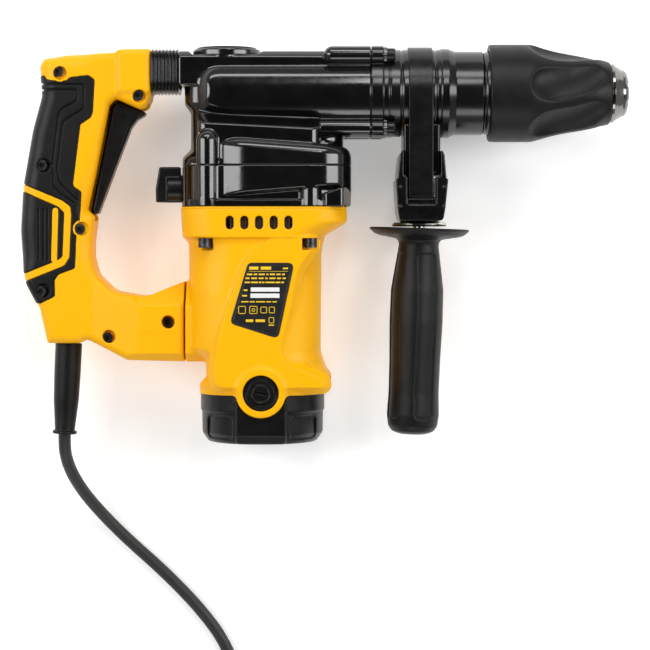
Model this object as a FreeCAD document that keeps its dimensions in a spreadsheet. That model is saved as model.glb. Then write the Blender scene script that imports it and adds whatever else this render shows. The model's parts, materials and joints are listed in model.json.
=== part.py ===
"""Rotary hammer, lying on its left flank. Millimetres.

The origin is the centre of the tool bore's mouth. +X runs forward out of the bore, +Y is the top of
the tool when it is held upright, and +Z is its right side, which faces up as it lies. The surface it
lies on is at z = -flank.
"""

import FreeCAD, Part
import math
import os

import Sketcher
from FreeCAD import Placement, Rotation, Vector

DOC = FreeCAD.newDocument("rotary_hammer")
PIECES = {}

SIZES = {
    # Whole tool
    "flank": 43.0,
    "spine_half": 24.0,
    "cap_bottom": -220.5,
    # Tool bore and tool holder
    "bore_radius": 5.05,
    "guide_length": 21.0,
    "bore_relief": 6.0,
    "bore_depth": 58.0,
    "holder_radius": 11.4,
    "holder_rear": -70.0,
    "ball_radius": 3.5,
    "ball_place": -32.0,
    "key_width": 2.4,
    "nose_length": 11.0,
    "nose_front_radius": 12.0,
    "nose_rear_radius": 18.4,
    # Chuck sleeve
    "sleeve_rear": -87.3,
    "sleeve_radius": 30.6,
    "sleeve_shoulder": -67.0,
    "sleeve_bore": 15.2,
    "scallops": 6,
    # Barrel
    "neck_radius": 26.2,
    "neck_front": -76.0,
    "collar_radius": 27.4,
    "collar_ring": -117.0,
    "flange_front": -153.7,
    "seam": -161.3,
    "flange_half": 28.0,
    "barrel_screw_place": 22.6,
    # Spindle
    "spindle_radius": 13.5,
    "spindle_rear": -212.0,
    "cylinder_radius": 10.5,
    "running_gap": 0.05,
    # Gear train
    "gear_module": 0.8,
    "pinion_teeth": 12,
    "crank_teeth": 44,
    "layshaft_teeth": 52,
    "bevel_module": 1.0,
    "bevel_pinion_teeth": 12,
    "bevel_ring_teeth": 40,
    "crank_throw": 11.0,
    "rod_length": 46.0,
    # Motor
    "motor_x": -229.5,
    "housing_top": -71.8,
    "case_bottom": -46.2,
    "housing_bottom": -189.0,
    "stator_radius": 36.8,
    "rotor_radius": 20.5,
    "shaft_radius": 4.0,
    "cap_radius": 39.0,
    "brush_y": -188.8,
    "fan_radius": 30.0,
    # Rear handle
    "handle_half": 19.0,
    "handle_wall": 3.5,
    "pivot_x": -288.5,
    "pivot_y": -144.0,
    "trigger_half": 8.0,
    # Side handle
    "grip_x": -130.4,
    "grip_top": -83.8,
    "grip_length": 131.0,
    "grip_tilt": 1.9,
    # Cord
    "cord_radius": 4.0,
    "coil_x": -215.0,
    "coil_y": -432.0,
    "coil_inner": 33.0,
    "coil_outer": 57.0,
    "coil_height": 24.0,
}


# ------------------------------------------------------------------ sizes and expressions


class Size:
    """A length with its value and the spreadsheet expression that gives it."""

    def __init__(self, value, text):
        self.value = float(value)
        self.text = text

    def joined(self, value, sign, other):
        return Size(value, f"({self.text} {sign} {size(other).text})")

    def __add__(self, other):
        return self.joined(self.value + size(other).value, "+", other)

    def __sub__(self, other):
        return self.joined(self.value - size(other).value, "-", other)

    def __mul__(self, other):
        return self.joined(self.value * size(other).value, "*", other)

    def __truediv__(self, other):
        return self.joined(self.value / size(other).value, "/", other)

    def __radd__(self, other):
        return size(other) + self

    def __rsub__(self, other):
        return size(other) - self

    def __rmul__(self, other):
        return size(other) * self

    def __neg__(self):
        return Size(-self.value, f"(-1 * {self.text})")


def size(value):
    """The value as a Size; a bare number stands for itself."""
    if isinstance(value, Size):
        return value
    return Size(value, f"({float(value):g})")


class Cells:
    """The spreadsheet's cells by alias."""

    def __getattr__(self, alias):
        return Size(SIZES[alias], "Sizes." + alias)


def make_sheet():
    sheet = DOC.addObject("Spreadsheet::Sheet", "Sizes")
    for row, (alias, value) in enumerate(SIZES.items(), start=1):
        sheet.set(f"A{row}", alias)
        sheet.set(f"B{row}", f"{value:g}")
        sheet.setAlias(f"B{row}", alias)
    DOC.recompute()


make_sheet()
S = Cells()

# Where the crank and the layshaft stand, each one tooth count away from the motor's pinion
CRANK_X = S.motor_x - (S.pinion_teeth + S.crank_teeth) * S.gear_module / 2
LAY_X = S.motor_x + (S.pinion_teeth + S.layshaft_teeth) * S.gear_module / 2


def bind(feature, **values):
    for name, value in values.items():
        feature.setExpression(name, size(value).text)


def place(feature, x=0, y=0, z=0, turn=None):
    """Put a feature at a point, turned by a rotation."""
    base = Vector(size(x).value, size(y).value, size(z).value)
    feature.Placement = Placement(base, turn or Rotation())
    for axis, value in (("x", x), ("y", y), ("z", z)):
        feature.setExpression(f"Placement.Base.{axis}", size(value).text)


ALONG = {
    "x": Rotation(Vector(0, 1, 0), 90),
    "y": Rotation(Vector(1, 0, 0), -90),
    "z": Rotation(),
}

SPRING_POINTS = 16  # points of a spring's centre line in one turn


# ------------------------------------------------------------------ sketches


def ring(u, v, radius):
    """A full circle, as a sketch loop."""
    return ("ring", size(u), size(v), size(radius))


def rounded(u_low, u_high, v_low, v_high, radius):
    """A rectangle with round corners, as a sketch loop. Each point may carry the radius of the arc
    that leads to it: positive turns left, negative turns right."""
    return [
        (u_low + radius, v_low, radius),
        (u_high - radius, v_low),
        (u_high, v_low + radius, radius),
        (u_high, v_high - radius),
        (u_high - radius, v_high, radius),
        (u_low + radius, v_high),
        (u_low, v_high - radius, radius),
        (u_low, v_low + radius),
    ]


def rectangle(u_low, u_high, v_low, v_high):
    return [(u_low, v_low), (u_high, v_low), (u_high, v_high), (u_low, v_high)]


def arc_between(start, end, radius):
    """The short arc from start to end, and which of its ends is the start."""
    chord = end - start
    half = chord.Length / 2
    rise = math.sqrt(max(radius * radius - half * half, 0.0))
    side = Vector(-chord.y, chord.x, 0).normalize()
    centre = (start + end) * 0.5 + side * (rise if radius > 0 else -rise)
    first, last = (start, end) if radius > 0 else (end, start)
    from_angle = math.atan2(first.y - centre.y, first.x - centre.x)
    to_angle = math.atan2(last.y - centre.y, last.x - centre.x)
    if to_angle < from_angle:
        to_angle += 2 * math.pi
    circle = Part.Circle(centre, Vector(0, 0, 1), abs(radius))
    return Part.ArcOfCircle(circle, from_angle, to_angle), 1 if radius > 0 else 2


def fix_point(sketch, shape, vertex, u, v):
    """Hold a vertex at sheet values measured from the sketch's origin."""
    for kind, value in (("DistanceX", u), ("DistanceY", v)):
        number = sketch.addConstraint(
            Sketcher.Constraint(kind, -1, 1, shape, vertex, value.value)
        )
        sketch.setExpression(f"Constraints[{number}]", value.text)


def fix_radius(sketch, shape, radius):
    number = sketch.addConstraint(Sketcher.Constraint("Radius", shape, abs(radius.value)))
    text = radius.text if radius.value > 0 else (-radius).text
    sketch.setExpression(f"Constraints[{number}]", text)


def draw_ring(sketch, loop):
    _, u, v, radius = loop
    circle = Part.Circle(Vector(u.value, v.value, 0), Vector(0, 0, 1), radius.value)
    shape = sketch.addGeometry(circle)
    fix_point(sketch, shape, 3, u, v)
    fix_radius(sketch, shape, radius)


def draw_outline(sketch, loop):
    points = [(size(step[0]), size(step[1])) for step in loop]
    radii = [size(step[2]) if len(step) > 2 else None for step in loop]
    count = len(points)
    ends = []
    for index in range(count):
        following = (index + 1) % count
        start = Vector(points[index][0].value, points[index][1].value, 0)
        end = Vector(points[following][0].value, points[following][1].value, 0)
        radius = radii[following]
        if radius is None:
            shape, first = sketch.addGeometry(Part.LineSegment(start, end)), 1
        else:
            arc, first = arc_between(start, end, radius.value)
            shape = sketch.addGeometry(arc)
        ends.append((shape, first, 3 - first, radius))
    for index in range(count):
        shape, _, last, _ = ends[index]
        next_shape, next_first, _, _ = ends[(index + 1) % count]
        sketch.addConstraint(Sketcher.Constraint("Coincident", shape, last, next_shape, next_first))
    for (shape, first, _, radius), (u, v) in zip(ends, points, strict=True):
        fix_point(sketch, shape, first, u, v)
        if radius is not None:
            fix_radius(sketch, shape, radius)


def draw(owner, role, lift, *loops):
    """A sketch in a body, on one of its origin planes, moved along that plane's normal.
    The normals are +Z for XY_Plane, -Y for XZ_Plane and +X for YZ_Plane."""
    sketch = owner.newObject("Sketcher::SketchObject", owner.Name + "_sketch")
    plane = next(item for item in owner.Origin.OriginFeatures if item.Role == role)
    sketch.AttachmentSupport = (plane, [""])
    sketch.MapMode = "FlatFace"
    sketch.AttachmentOffset = Placement(Vector(0, 0, size(lift).value), Rotation())
    sketch.setExpression("AttachmentOffset.Base.z", size(lift).text)
    for loop in loops:
        if loop[0] == "ring":
            draw_ring(sketch, loop)
        else:
            draw_outline(sketch, loop)
    return sketch


# ------------------------------------------------------------------ bodies and features


def keep(feature, label):
    """Name a finished piece and put it on the list of pieces."""
    feature.Label = label
    PIECES[label] = feature
    return feature


def new_body(label):
    """An empty body that is kept as the piece of that name."""
    body = DOC.addObject("PartDesign::Body", "Body_" + label)
    keep(body, label)
    return body


def pad(body, role, start, length, *loops):
    """Add a prism from start over length, along the plane's normal."""
    feature = body.newObject("PartDesign::Pad", body.Name + "_pad")
    feature.Profile = draw(body, role, start, *loops)
    bind(feature, Length=length)
    return feature


def pocket(body, role, start, length, *loops):
    """Cut a prism from start over length, along the plane's normal."""
    feature = body.newObject("PartDesign::Pocket", body.Name + "_pocket")
    feature.Profile = draw(body, role, size(start) + length, *loops)
    bind(feature, Length=length)
    return feature


def turned(body, *loops, axis="H_Axis", cut=False):
    """Turn outlines in the XY plane about the body's X axis (H_Axis) or Y axis (V_Axis)."""
    kind = "PartDesign::Groove" if cut else "PartDesign::Revolution"
    feature = body.newObject(kind, body.Name + "_turned")
    sketch = draw(body, "XY_Plane", 0, *loops)
    feature.Profile = sketch
    feature.ReferenceAxis = (sketch, [axis])
    feature.Angle = 360
    return feature


def lofted(body, role, sections, cut=False):
    """A ruled loft through (lift, loop) sections."""
    kind = "PartDesign::SubtractiveLoft" if cut else "PartDesign::AdditiveLoft"
    feature = body.newObject(kind, body.Name + "_loft")
    sketches = [draw(body, role, lift, loop) for lift, loop in sections]
    feature.Profile = sketches[0]
    feature.Sections = sketches[1:]
    feature.Ruled = True
    return feature


def round_pattern(body, feature, axis, count):
    """Repeat a feature evenly about one of the body's axes."""
    DOC.recompute()
    pattern = body.newObject("PartDesign::PolarPattern", body.Name + "_round")
    pattern.Originals = [feature]
    line = next(item for item in body.Origin.OriginFeatures if item.Role == axis)
    pattern.Axis = (line, [""])
    pattern.Angle = 360
    bind(pattern, Occurrences=count)
    body.Tip = pattern
    return pattern


def line_pattern(body, feature, axis, length, count):
    """Repeat a feature evenly along one of the body's axes."""
    DOC.recompute()
    pattern = body.newObject("PartDesign::LinearPattern", body.Name + "_row")
    pattern.Originals = [feature]
    line = next(item for item in body.Origin.OriginFeatures if item.Role == axis)
    pattern.Direction = (line, [""])
    bind(pattern, Length=length)
    pattern.Occurrences = count
    body.Tip = pattern
    return pattern


def cylinder(radius, length, x=0, y=0, z=0, along="z"):
    feature = DOC.addObject("Part::Cylinder", "Cylinder")
    bind(feature, Radius=radius, Height=length)
    place(feature, x, y, z, ALONG[along])
    return feature


def cone(radius_one, radius_two, length, x=0, y=0, z=0, turn=None):
    feature = DOC.addObject("Part::Cone", "Cone")
    bind(feature, Radius1=radius_one, Radius2=radius_two, Height=length)
    place(feature, x, y, z, turn)
    return feature


def block(x_low, x_high, y_low, y_high, z_low, z_high):
    feature = DOC.addObject("Part::Box", "Box")
    bind(
        feature,
        Length=size(x_high) - x_low,
        Width=size(y_high) - y_low,
        Height=size(z_high) - z_low,
    )
    place(feature, x_low, y_low, z_low)
    return feature


def fused(*shapes):
    feature = DOC.addObject("Part::MultiFuse", "Fusion")
    feature.Shapes = list(shapes)
    return feature


def grouped(*shapes):
    feature = DOC.addObject("Part::Compound", "Group")
    feature.Links = list(shapes)
    return feature


def cut(base, *tools):
    feature = DOC.addObject("Part::Cut", "Cut")
    feature.Base = base
    feature.Tool = tools[0] if len(tools) == 1 else fused(*tools)
    return feature


def common(base, tool):
    feature = DOC.addObject("Part::Common", "Common")
    feature.Base = base
    feature.Tool = tool
    return feature


def direct(label, shape, x=0, y=0, z=0, turn=None):
    """A piece whose shape is worked out here from the sheet's values."""
    feature = DOC.addObject("Part::Feature", "Shape_" + label)
    feature.Shape = shape
    place(feature, x, y, z, turn)
    return feature


# ------------------------------------------------------------------ gears and springs


def flank_angle(radius, base_radius):
    """Involute angle at a radius; below the base circle the flank is radial."""
    if radius <= base_radius:
        return 0.0
    pressure = math.acos(base_radius / radius)
    return math.tan(pressure) - pressure


def gear_shape(teeth, module, width, first_angle, thinning=0.14):
    """A spur gear about +Y from y = 0, one tooth centred at first_angle from +X towards +Z."""
    pitch = teeth * module / 2
    base_radius = pitch * math.cos(math.radians(20))
    root, tip = pitch - 1.25 * module, pitch + 0.85 * module
    half_at_pitch = (math.pi * module / 2 - thinning) / (2 * pitch)
    radii = [root, pitch - 0.4 * module, pitch, pitch + 0.45 * module, tip]
    side = [
        half_at_pitch + flank_angle(pitch, base_radius) - flank_angle(radius, base_radius)
        for radius in radii
    ]
    points = []
    for tooth in range(teeth):
        centre = first_angle + 2 * math.pi * tooth / teeth
        ends = [(-angle, radius) for angle, radius in zip(side, radii, strict=True)]
        ends += [(angle, radius) for angle, radius in zip(reversed(side), reversed(radii), strict=True)]
        points += [
            Vector(radius * math.cos(centre + angle), 0, radius * math.sin(centre + angle))
            for angle, radius in ends
        ]
    face = Part.Face(Part.makePolygon(points + points[:1]))
    return face.extrude(Vector(0, width, 0))


def bevel_shape(teeth, mate_teeth, module, face_width, inner_radius, back, first_angle):
    """A bevel gear with its cone's apex at the origin and its axis along -Z, towards its teeth's
    large end. Every tooth is a pyramid's slice that points at the apex."""
    pitch, mate = teeth * module / 2, mate_teeth * module / 2
    far = math.hypot(pitch, mate)
    near = (far - face_width) / far
    lean = math.atan2(pitch, mate)
    tip_r, tip_z = pitch + 0.8 * module * math.cos(lean), mate - 0.8 * module * math.sin(lean)
    root_r, root_z = pitch - 1.15 * module * math.cos(lean), mate + 1.15 * module * math.sin(lean)
    core_points = [
        Vector(inner_radius, 0, -root_z * near),
        Vector(root_r * near, 0, -root_z * near),
        Vector(root_r, 0, -root_z),
        Vector(root_r, 0, -root_z - back),
        Vector(inner_radius, 0, -root_z - back),
    ]
    core = Part.Face(Part.makePolygon(core_points + core_points[:1])).revolve(
        Vector(), Vector(0, 0, 1), 360
    )
    half = (math.pi * module / 2 - 0.2) / 2
    low, high = half + 0.42 * module, half - 0.3 * module
    sink = 1.02
    corners = [
        Vector(root_r / sink, -low, -root_z),
        Vector(tip_r, -high, -tip_z),
        Vector(tip_r, high, -tip_z),
        Vector(root_r / sink, low, -root_z),
    ]
    big = Part.makePolygon(corners + corners[:1])
    small = Part.makePolygon([corner * near for corner in corners + corners[:1]])
    tooth = Part.makeLoft([big, small], True, True)
    teeth_shapes = []
    for index in range(teeth):
        copy = tooth.copy()
        copy.rotate(Vector(), Vector(0, 0, 1), math.degrees(first_angle) + 360 * index / teeth)
        teeth_shapes.append(copy)
    gear = core.multiFuse(teeth_shapes)
    return gear.removeSplitter()


def coil_shape(radius, wire, length, turns):
    """A helical spring about +Z from z = 0, with its wire's centre line inside the length."""
    count = SPRING_POINTS * turns
    points = []
    for index in range(count + 1):
        angle = 2 * math.pi * index / SPRING_POINTS
        height = length * index / count
        points.append(Vector(radius * math.cos(angle), radius * math.sin(angle), height))
    centre = Part.BSplineCurve()
    centre.interpolate(points)
    heading = centre.tangent(centre.FirstParameter)[0]
    profile = Part.Wire(Part.makeCircle(wire / 2, points[0], heading))
    return Part.Wire(centre.toShape()).makePipeShell([profile], True, True)


# ------------------------------------------------------------------ chuck and spindle


def make_tool_holder():
    body = new_body("tool_holder")
    turned(
        body,
        [
            (0, S.bore_radius),
            (0, S.holder_radius),
            (S.holder_rear + 6, S.holder_radius),
            (S.holder_rear + 6, S.spindle_radius),
            (S.holder_rear, S.spindle_radius),
            (S.holder_rear, 7),
            (-S.bore_depth, 7),
            (-S.bore_depth, S.bore_relief),
            (-S.guide_length, S.bore_relief),
            (-S.guide_length, S.bore_radius),
        ],
    )
    key_start, key_end = -22, -52
    key_tip, key_root = S.bore_radius - 1.2, S.bore_relief + 0.8
    half = S.key_width / 2
    for section in (
        rectangle(key_tip, key_root, -half, half),
        rectangle(-key_root, -key_tip, -half, half),
    ):
        pad(body, "YZ_Plane", key_end, key_start - key_end, section)
    slot = ring(S.ball_place, 0, S.ball_radius + 0.1)
    pocket(body, "XY_Plane", 0, 20, slot)
    pocket(body, "XY_Plane", -20, 20, slot)


def make_spindle_tube():
    body = new_body("spindle_tube")
    turned(
        body,
        [
            (S.holder_rear, 7),
            (S.holder_rear, S.spindle_radius),
            (S.spindle_rear, S.spindle_radius),
            (S.spindle_rear, S.cylinder_radius),
            (-96, S.cylinder_radius),
            (-96, 7),
        ],
    )


def make_nose_cap():
    body = new_body("nose_cap")
    inner = S.holder_radius + 0.02
    turned(
        body,
        [
            (-S.nose_length, inner),
            (-S.nose_length, S.nose_rear_radius),
            (-2.2, S.nose_front_radius + 1.4),
            (-0.5, S.nose_front_radius, -3),
            (-0.5, inner),
        ],
    )


def make_locking_balls():
    reach = S.bore_radius + 2.4
    balls = []
    for side in (1, -1):
        ball = DOC.addObject("Part::Sphere", "Ball")
        bind(ball, Radius=S.ball_radius)
        place(ball, S.ball_place, 0, reach * side)
        balls.append(ball)
    keep(grouped(*balls), "locking_balls")


def make_chuck_sleeve():
    body = new_body("chuck_sleeve")
    front = -S.nose_length
    skirt = S.neck_radius + 0.6
    turned(
        body,
        [
            (S.sleeve_rear, skirt),
            (S.sleeve_rear, S.sleeve_radius - 0.8),
            (S.sleeve_rear + 0.8, S.sleeve_radius),
            (-61, S.sleeve_radius),
            (-36, 27.2, -140),
            (front - 1, 19.6, -90),
            (front, 18.4),
            (front, S.sleeve_bore),
            (S.sleeve_shoulder, S.sleeve_bore),
            (S.sleeve_shoulder, skirt),
        ],
    )
    hollow = body.newObject("PartDesign::SubtractiveEllipsoid", "scallop")
    bind(hollow, Radius1=8, Radius2=30, Radius3=12)
    tilt = Rotation(Vector(1, 0, 0), -11) * Rotation(Vector(0, 0, 1), 22)
    hollow.AttachmentOffset = Placement(Rotation(Vector(1, 0, 0), -11).multVec(Vector(-38, 0, 32)), tilt)
    hollow.Placement = hollow.AttachmentOffset
    round_pattern(body, hollow, "X_Axis", S.scallops)


def make_lock_ring():
    inner = S.holder_radius + S.running_gap
    outer = cylinder(S.sleeve_bore - 0.01, 22, -44, along="x")
    keep(cut(outer, cylinder(inner, 24, -45, along="x")), "lock_ring")


def make_sleeve_spring():
    shape = coil_shape(13.2, 2.0, 14.8, 3)
    keep(direct("sleeve_spring", shape, x=-61.6, turn=ALONG["x"]), "sleeve_spring")


# ------------------------------------------------------------------ barrel


def make_barrel():
    body = new_body("barrel")
    inner = 20
    turned(
        body,
        [
            (S.neck_front, inner),
            (S.neck_front, S.neck_radius - 0.8),
            (S.neck_front - 0.8, S.neck_radius),
            (-89.5, S.neck_radius),
            (-89.5, S.neck_radius - 0.8),
            (-91, S.neck_radius - 0.8),
            (-91, S.neck_radius),
            (-108.7, S.neck_radius),
            (-112.8, S.collar_radius + 0.6),
            (S.collar_ring, S.collar_radius + 0.6),
            (S.collar_ring, S.collar_radius),
            (S.flange_front, S.collar_radius),
            (S.flange_front, inner + 1),
            (-110, inner + 1),
            (-110, inner),
        ],
    )
    half = S.flange_half
    pad(
        body,
        "YZ_Plane",
        S.seam,
        S.flange_front - S.seam,
        rounded(-half, half, -half, half, 10),
        ring(0, 0, inner + 1),
    )
    pocket(body, "YZ_Plane", S.seam - 1, S.flange_front - S.seam + 2, *barrel_rings(2.6))


def make_barrel_screws():
    screws = []
    for side in (1, -1):
        for other in (1, -1):
            y, z = S.barrel_screw_place * side, S.barrel_screw_place * other
            washer = cylinder(4.2, 1, S.flange_front, y, z, "x")
            head = cylinder(3.2, 6.4, S.flange_front + 1, y, z, "x")
            shank = cylinder(2.5, 24, S.flange_front - 23.9, y, z, "x")
            key = cylinder(1.6, 3, S.flange_front + 5, y, z, "x")
            screws.append(cut(fused(washer, head, shank), key))
    keep(grouped(*screws), "barrel_screws")


def make_spindle_bearings():
    inner = S.spindle_radius + S.running_gap
    rings = []
    for start, length, outer in ((-184, 10, 21), (-104, 14, 20)):
        shell = cylinder(outer, length, start, along="x")
        rings.append(cut(shell, cylinder(inner, length + 2, start - 1, along="x")))
    keep(grouped(*rings), "spindle_bearings")


def make_oil_seal():
    shell = cylinder(20, 5, -86, along="x")
    hole = cylinder(S.spindle_radius + S.running_gap, 7, -87, along="x")
    keep(cut(shell, hole), "oil_seal")


# ------------------------------------------------------------------ gear case and fan housing


def footprint(x_low, x_high, z_half, radius):
    """A rounded rectangle in the XZ plane."""
    return rounded(size(x_low), size(x_high), -size(z_half), size(z_half), radius)


CASE_REAR = -279.0
CASE_FRONT = -176.0
SCREW_PLACES = ((-264.0, 35.0), (-199.0, 35.0))


def housing_rings(radius):
    """Circles in the XZ plane about the four housing screws."""
    return [ring(x, z * side, radius) for x, z in SCREW_PLACES for side in (1, -1)]


def barrel_rings(radius):
    """Circles in the YZ plane about the four barrel screws."""
    place_at = S.barrel_screw_place
    return [ring(one * place_at, two * place_at, radius) for one in (1, -1) for two in (1, -1)]


def make_gear_case():
    body = new_body("gear_case")
    spine = [
        (-281, -22),
        (-190, -22),
        (-190, 24.5),
        (-277, 24.5),
        (-281, 20.5, 4),
    ]
    pad(body, "XY_Plane", -S.spine_half, S.spine_half * 2, spine)
    bulge = 28
    flat = 24.5
    side = math.sqrt(bulge**2 - flat**2)
    pad(
        body,
        "YZ_Plane",
        -267,
        S.seam + 267,
        [(flat, -side, bulge), (flat, side), (-bulge, 0, bulge)],
    )
    lofted(
        body,
        "XZ_Plane",
        [
            (16, footprint(-274, -186, 27, 10)),
            (30, footprint(-276, CASE_FRONT, S.flank - 0.8, 20)),
        ],
    )
    pad(body, "XZ_Plane", 30, -S.case_bottom - 30, footprint(CASE_REAR, CASE_FRONT, S.flank - 0.8, 20))
    pad(body, "XZ_Plane", -27, 7, ring(CRANK_X, 0, 21.4))
    pad(body, "YZ_Plane", -190, S.seam + 190, *barrel_rings(5))
    # Room for the gears and the spindle
    lofted(
        body,
        "XZ_Plane",
        [(12, footprint(-271, -189, 19, 8)), (31, footprint(-272.5, CASE_FRONT - 3, 39, 17))],
        cut=True,
    )
    pocket(body, "XZ_Plane", 31, 16, footprint(-275.5, CASE_FRONT - 3, 39, 17))
    turned(
        body,
        [(-277, 0), (-277, 22), (-190, 22), (-190, 21), (S.seam + 1, 21), (S.seam + 1, 0)],
        cut=True,
    )
    pocket(body, "YZ_Plane", -180, 25, *barrel_rings(2.6))


def make_gear_cover():
    body = new_body("gear_cover")
    pad(
        body,
        "XZ_Plane",
        -S.case_bottom,
        4,
        footprint(CASE_REAR + 3.5, CASE_FRONT - 3.5, 38.5, 16),
        ring(S.motor_x, 0, 11),
        ring(CRANK_X, 0, 9),
        ring(LAY_X, 0, 8),
    )
    pocket(body, "XZ_Plane", -S.case_bottom - 1, 6, *housing_rings(2.6))


def make_fan_housing():
    body = new_body("fan_housing")
    height = S.case_bottom - S.housing_top
    pad(body, "XZ_Plane", -S.case_bottom, height, footprint(CASE_REAR, CASE_FRONT, S.flank - 0.8, 20))
    pocket(body, "XZ_Plane", -S.case_bottom, 4, footprint(CASE_REAR + 3.5, CASE_FRONT - 3.5, 38.5, 16))
    pocket(body, "XZ_Plane", -S.case_bottom + 3, height - 2, ring(S.motor_x, 0, S.fan_radius + 3))
    pocket(body, "XZ_Plane", -S.case_bottom, height + 1, *housing_rings(2.6))
    pocket(body, "YZ_Plane", CASE_REAR - 1, 9, ring(-60, 0, 3.05))


def make_housing_screws():
    screws = []
    for x, z in SCREW_PLACES:
        for side in (1, -1):
            head = cylinder(4.1, 6, x, -97, z * side, "y")
            shank = cylinder(2.5, 44.6, x, -91.1, z * side, "y")
            key = cylinder(2, 3, x, -97.1, z * side, "y")
            screws.append(cut(fused(head, shank), key))
    keep(grouped(*screws), "housing_screws")


def make_grease_cap():
    disc = cylinder(19, 1.7, CRANK_X, 27, 0, "y")
    slot = block(CRANK_X - 9, CRANK_X + 9, 27.9, 29, -1.4, 1.4)
    keep(cut(disc, slot), "grease_cap")


# ------------------------------------------------------------------ motor


def make_motor_housing():
    body = new_body("motor_housing")
    top, bottom = -S.housing_top, -S.housing_bottom
    flange = footprint(-279.7, -176.4, S.flank, 22)
    waist = footprint(-275.5, -193.0, S.flank, 26)
    foot = footprint(-275.5, -187.0, S.flank, 26)
    pad(body, "XZ_Plane", top, 13, flange)
    lofted(body, "XZ_Plane", [(top + 13, flange), (101, waist)])
    pad(body, "XZ_Plane", 101, 64, waist)
    lofted(body, "XZ_Plane", [(165, waist), (177, foot)])
    pad(body, "XZ_Plane", 177, 5.7, foot)
    lower = footprint(S.motor_x - S.cap_radius, S.motor_x + S.cap_radius, S.flank - 4, 30)
    pad(body, "XZ_Plane", 182.7, bottom - 182.7, lower)
    arm = [(-276.3, -168.2), (-262, -168.2), (-262, -117.4), (-276.3, -117.4)]
    pad(body, "XY_Plane", -24, 48, arm)
    tongue = [
        (-262, S.pivot_y - 8),
        (-262, S.pivot_y + 8),
        (S.pivot_x, S.pivot_y + 8),
        (S.pivot_x - 8, S.pivot_y, 8),
        (S.pivot_x, S.pivot_y - 8, 8),
    ]
    pad(body, "XY_Plane", -8, 16, tongue)
    boss = ring(S.motor_x, S.brush_y, 15.3)
    for start in (30, -S.flank):
        pad(body, "XY_Plane", start, S.flank - 30, boss)
    pocket(body, "XZ_Plane", top - 1, bottom - top + 2, ring(S.motor_x, 0, S.stator_radius))
    pocket(body, "XY_Plane", -S.flank - 1, 2 * S.flank + 2, ring(S.motor_x, S.brush_y, 11.05))
    pocket(body, "XY_Plane", -20, 40, ring(S.pivot_x, S.pivot_y, 4))
    pocket(body, "XZ_Plane", top - 1, 21, *housing_rings(2.6))
    pocket(body, "XZ_Plane", 91, 13, *housing_rings(4.8))
    first_slot, slot_pitch, slot_width = -252.8, 9.3, 5.0
    slots = [
        rounded(
            size(first_slot + index * slot_pitch),
            size(first_slot + index * slot_pitch + slot_width),
            size(-85.5),
            size(-76.9),
            2,
        )
        for index in range(5)
    ]
    for start in (25, -S.flank - 1):
        pocket(body, "XY_Plane", start, S.flank - 24, *slots)


def make_end_cap():
    body = new_body("end_cap")
    place(body, S.motor_x)
    top, bottom, outer = S.housing_bottom, S.cap_bottom, S.cap_radius
    turned(
        body,
        [
            (0, bottom),
            (outer - 4.5, bottom),
            (outer - 0.6, bottom + 6),
            (outer - 0.6, top - 11),
            (outer, top - 12),
            (outer, top),
            (outer - 3, top),
            (outer - 3, bottom + 3.5),
            (15, bottom + 3.5),
            (15, bottom + 15.5),
            (11, bottom + 15.5),
            (11, bottom + 7),
            (0, bottom + 7),
        ],
        axis="V_Axis",
    )
    tab_half = 15.5
    for start in (outer - 7, 6 - outer):
        pad(
            body,
            "XY_Plane",
            start,
            1,
            rectangle(-tab_half, tab_half, bottom + 3, top - 16.5),
        )
    for start in (28, -S.flank - 1):
        pocket(body, "XY_Plane", start, S.flank - 27, ring(0, S.brush_y, 15.4))


def make_stator():
    start, length = -168, 60
    outer = cylinder(S.stator_radius, length, S.motor_x, start, 0, "y")
    bore = cylinder(S.rotor_radius + 0.6, length + 2, S.motor_x, start - 1, 0, "y")
    keep(cut(outer, bore), "stator_core")
    rings = []
    for low in (start - 9, start + length):
        shell = cylinder(34, 9, S.motor_x, low, 0, "y")
        rings.append(cut(shell, cylinder(24, 11, S.motor_x, low - 1, 0, "y")))
    keep(grouped(*rings), "stator_windings")


def make_brushes():
    holders, brushes, caps = [], [], []
    for side in (1, -1):

        def span(inner, outer, half_x, half_y, side=side):
            low, high = sorted((side * inner, side * outer))
            return block(
                S.motor_x - half_x,
                S.motor_x + half_x,
                S.brush_y - half_y,
                S.brush_y + half_y,
                low,
                high,
            )

        holders.append(cut(span(15, 33, 6.5, 5), span(14, 34, 4.1, 2.6)))
        brushes.append(span(12.1, 30, 4, 2.5))
        base = 35 if side > 0 else -42.6
        disc = cylinder(11, 7.6, S.motor_x, S.brush_y, base, "z")
        low, high = sorted((side * 41.6, side * 43))
        slot = block(S.motor_x - 4, S.motor_x + 4, S.brush_y - 0.8, S.brush_y + 0.8, low, high)
        caps.append(cut(disc, slot))
    keep(grouped(*holders), "brush_holders")
    keep(grouped(*brushes), "carbon_brushes")
    keep(grouped(*caps), "brush_caps")


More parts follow.
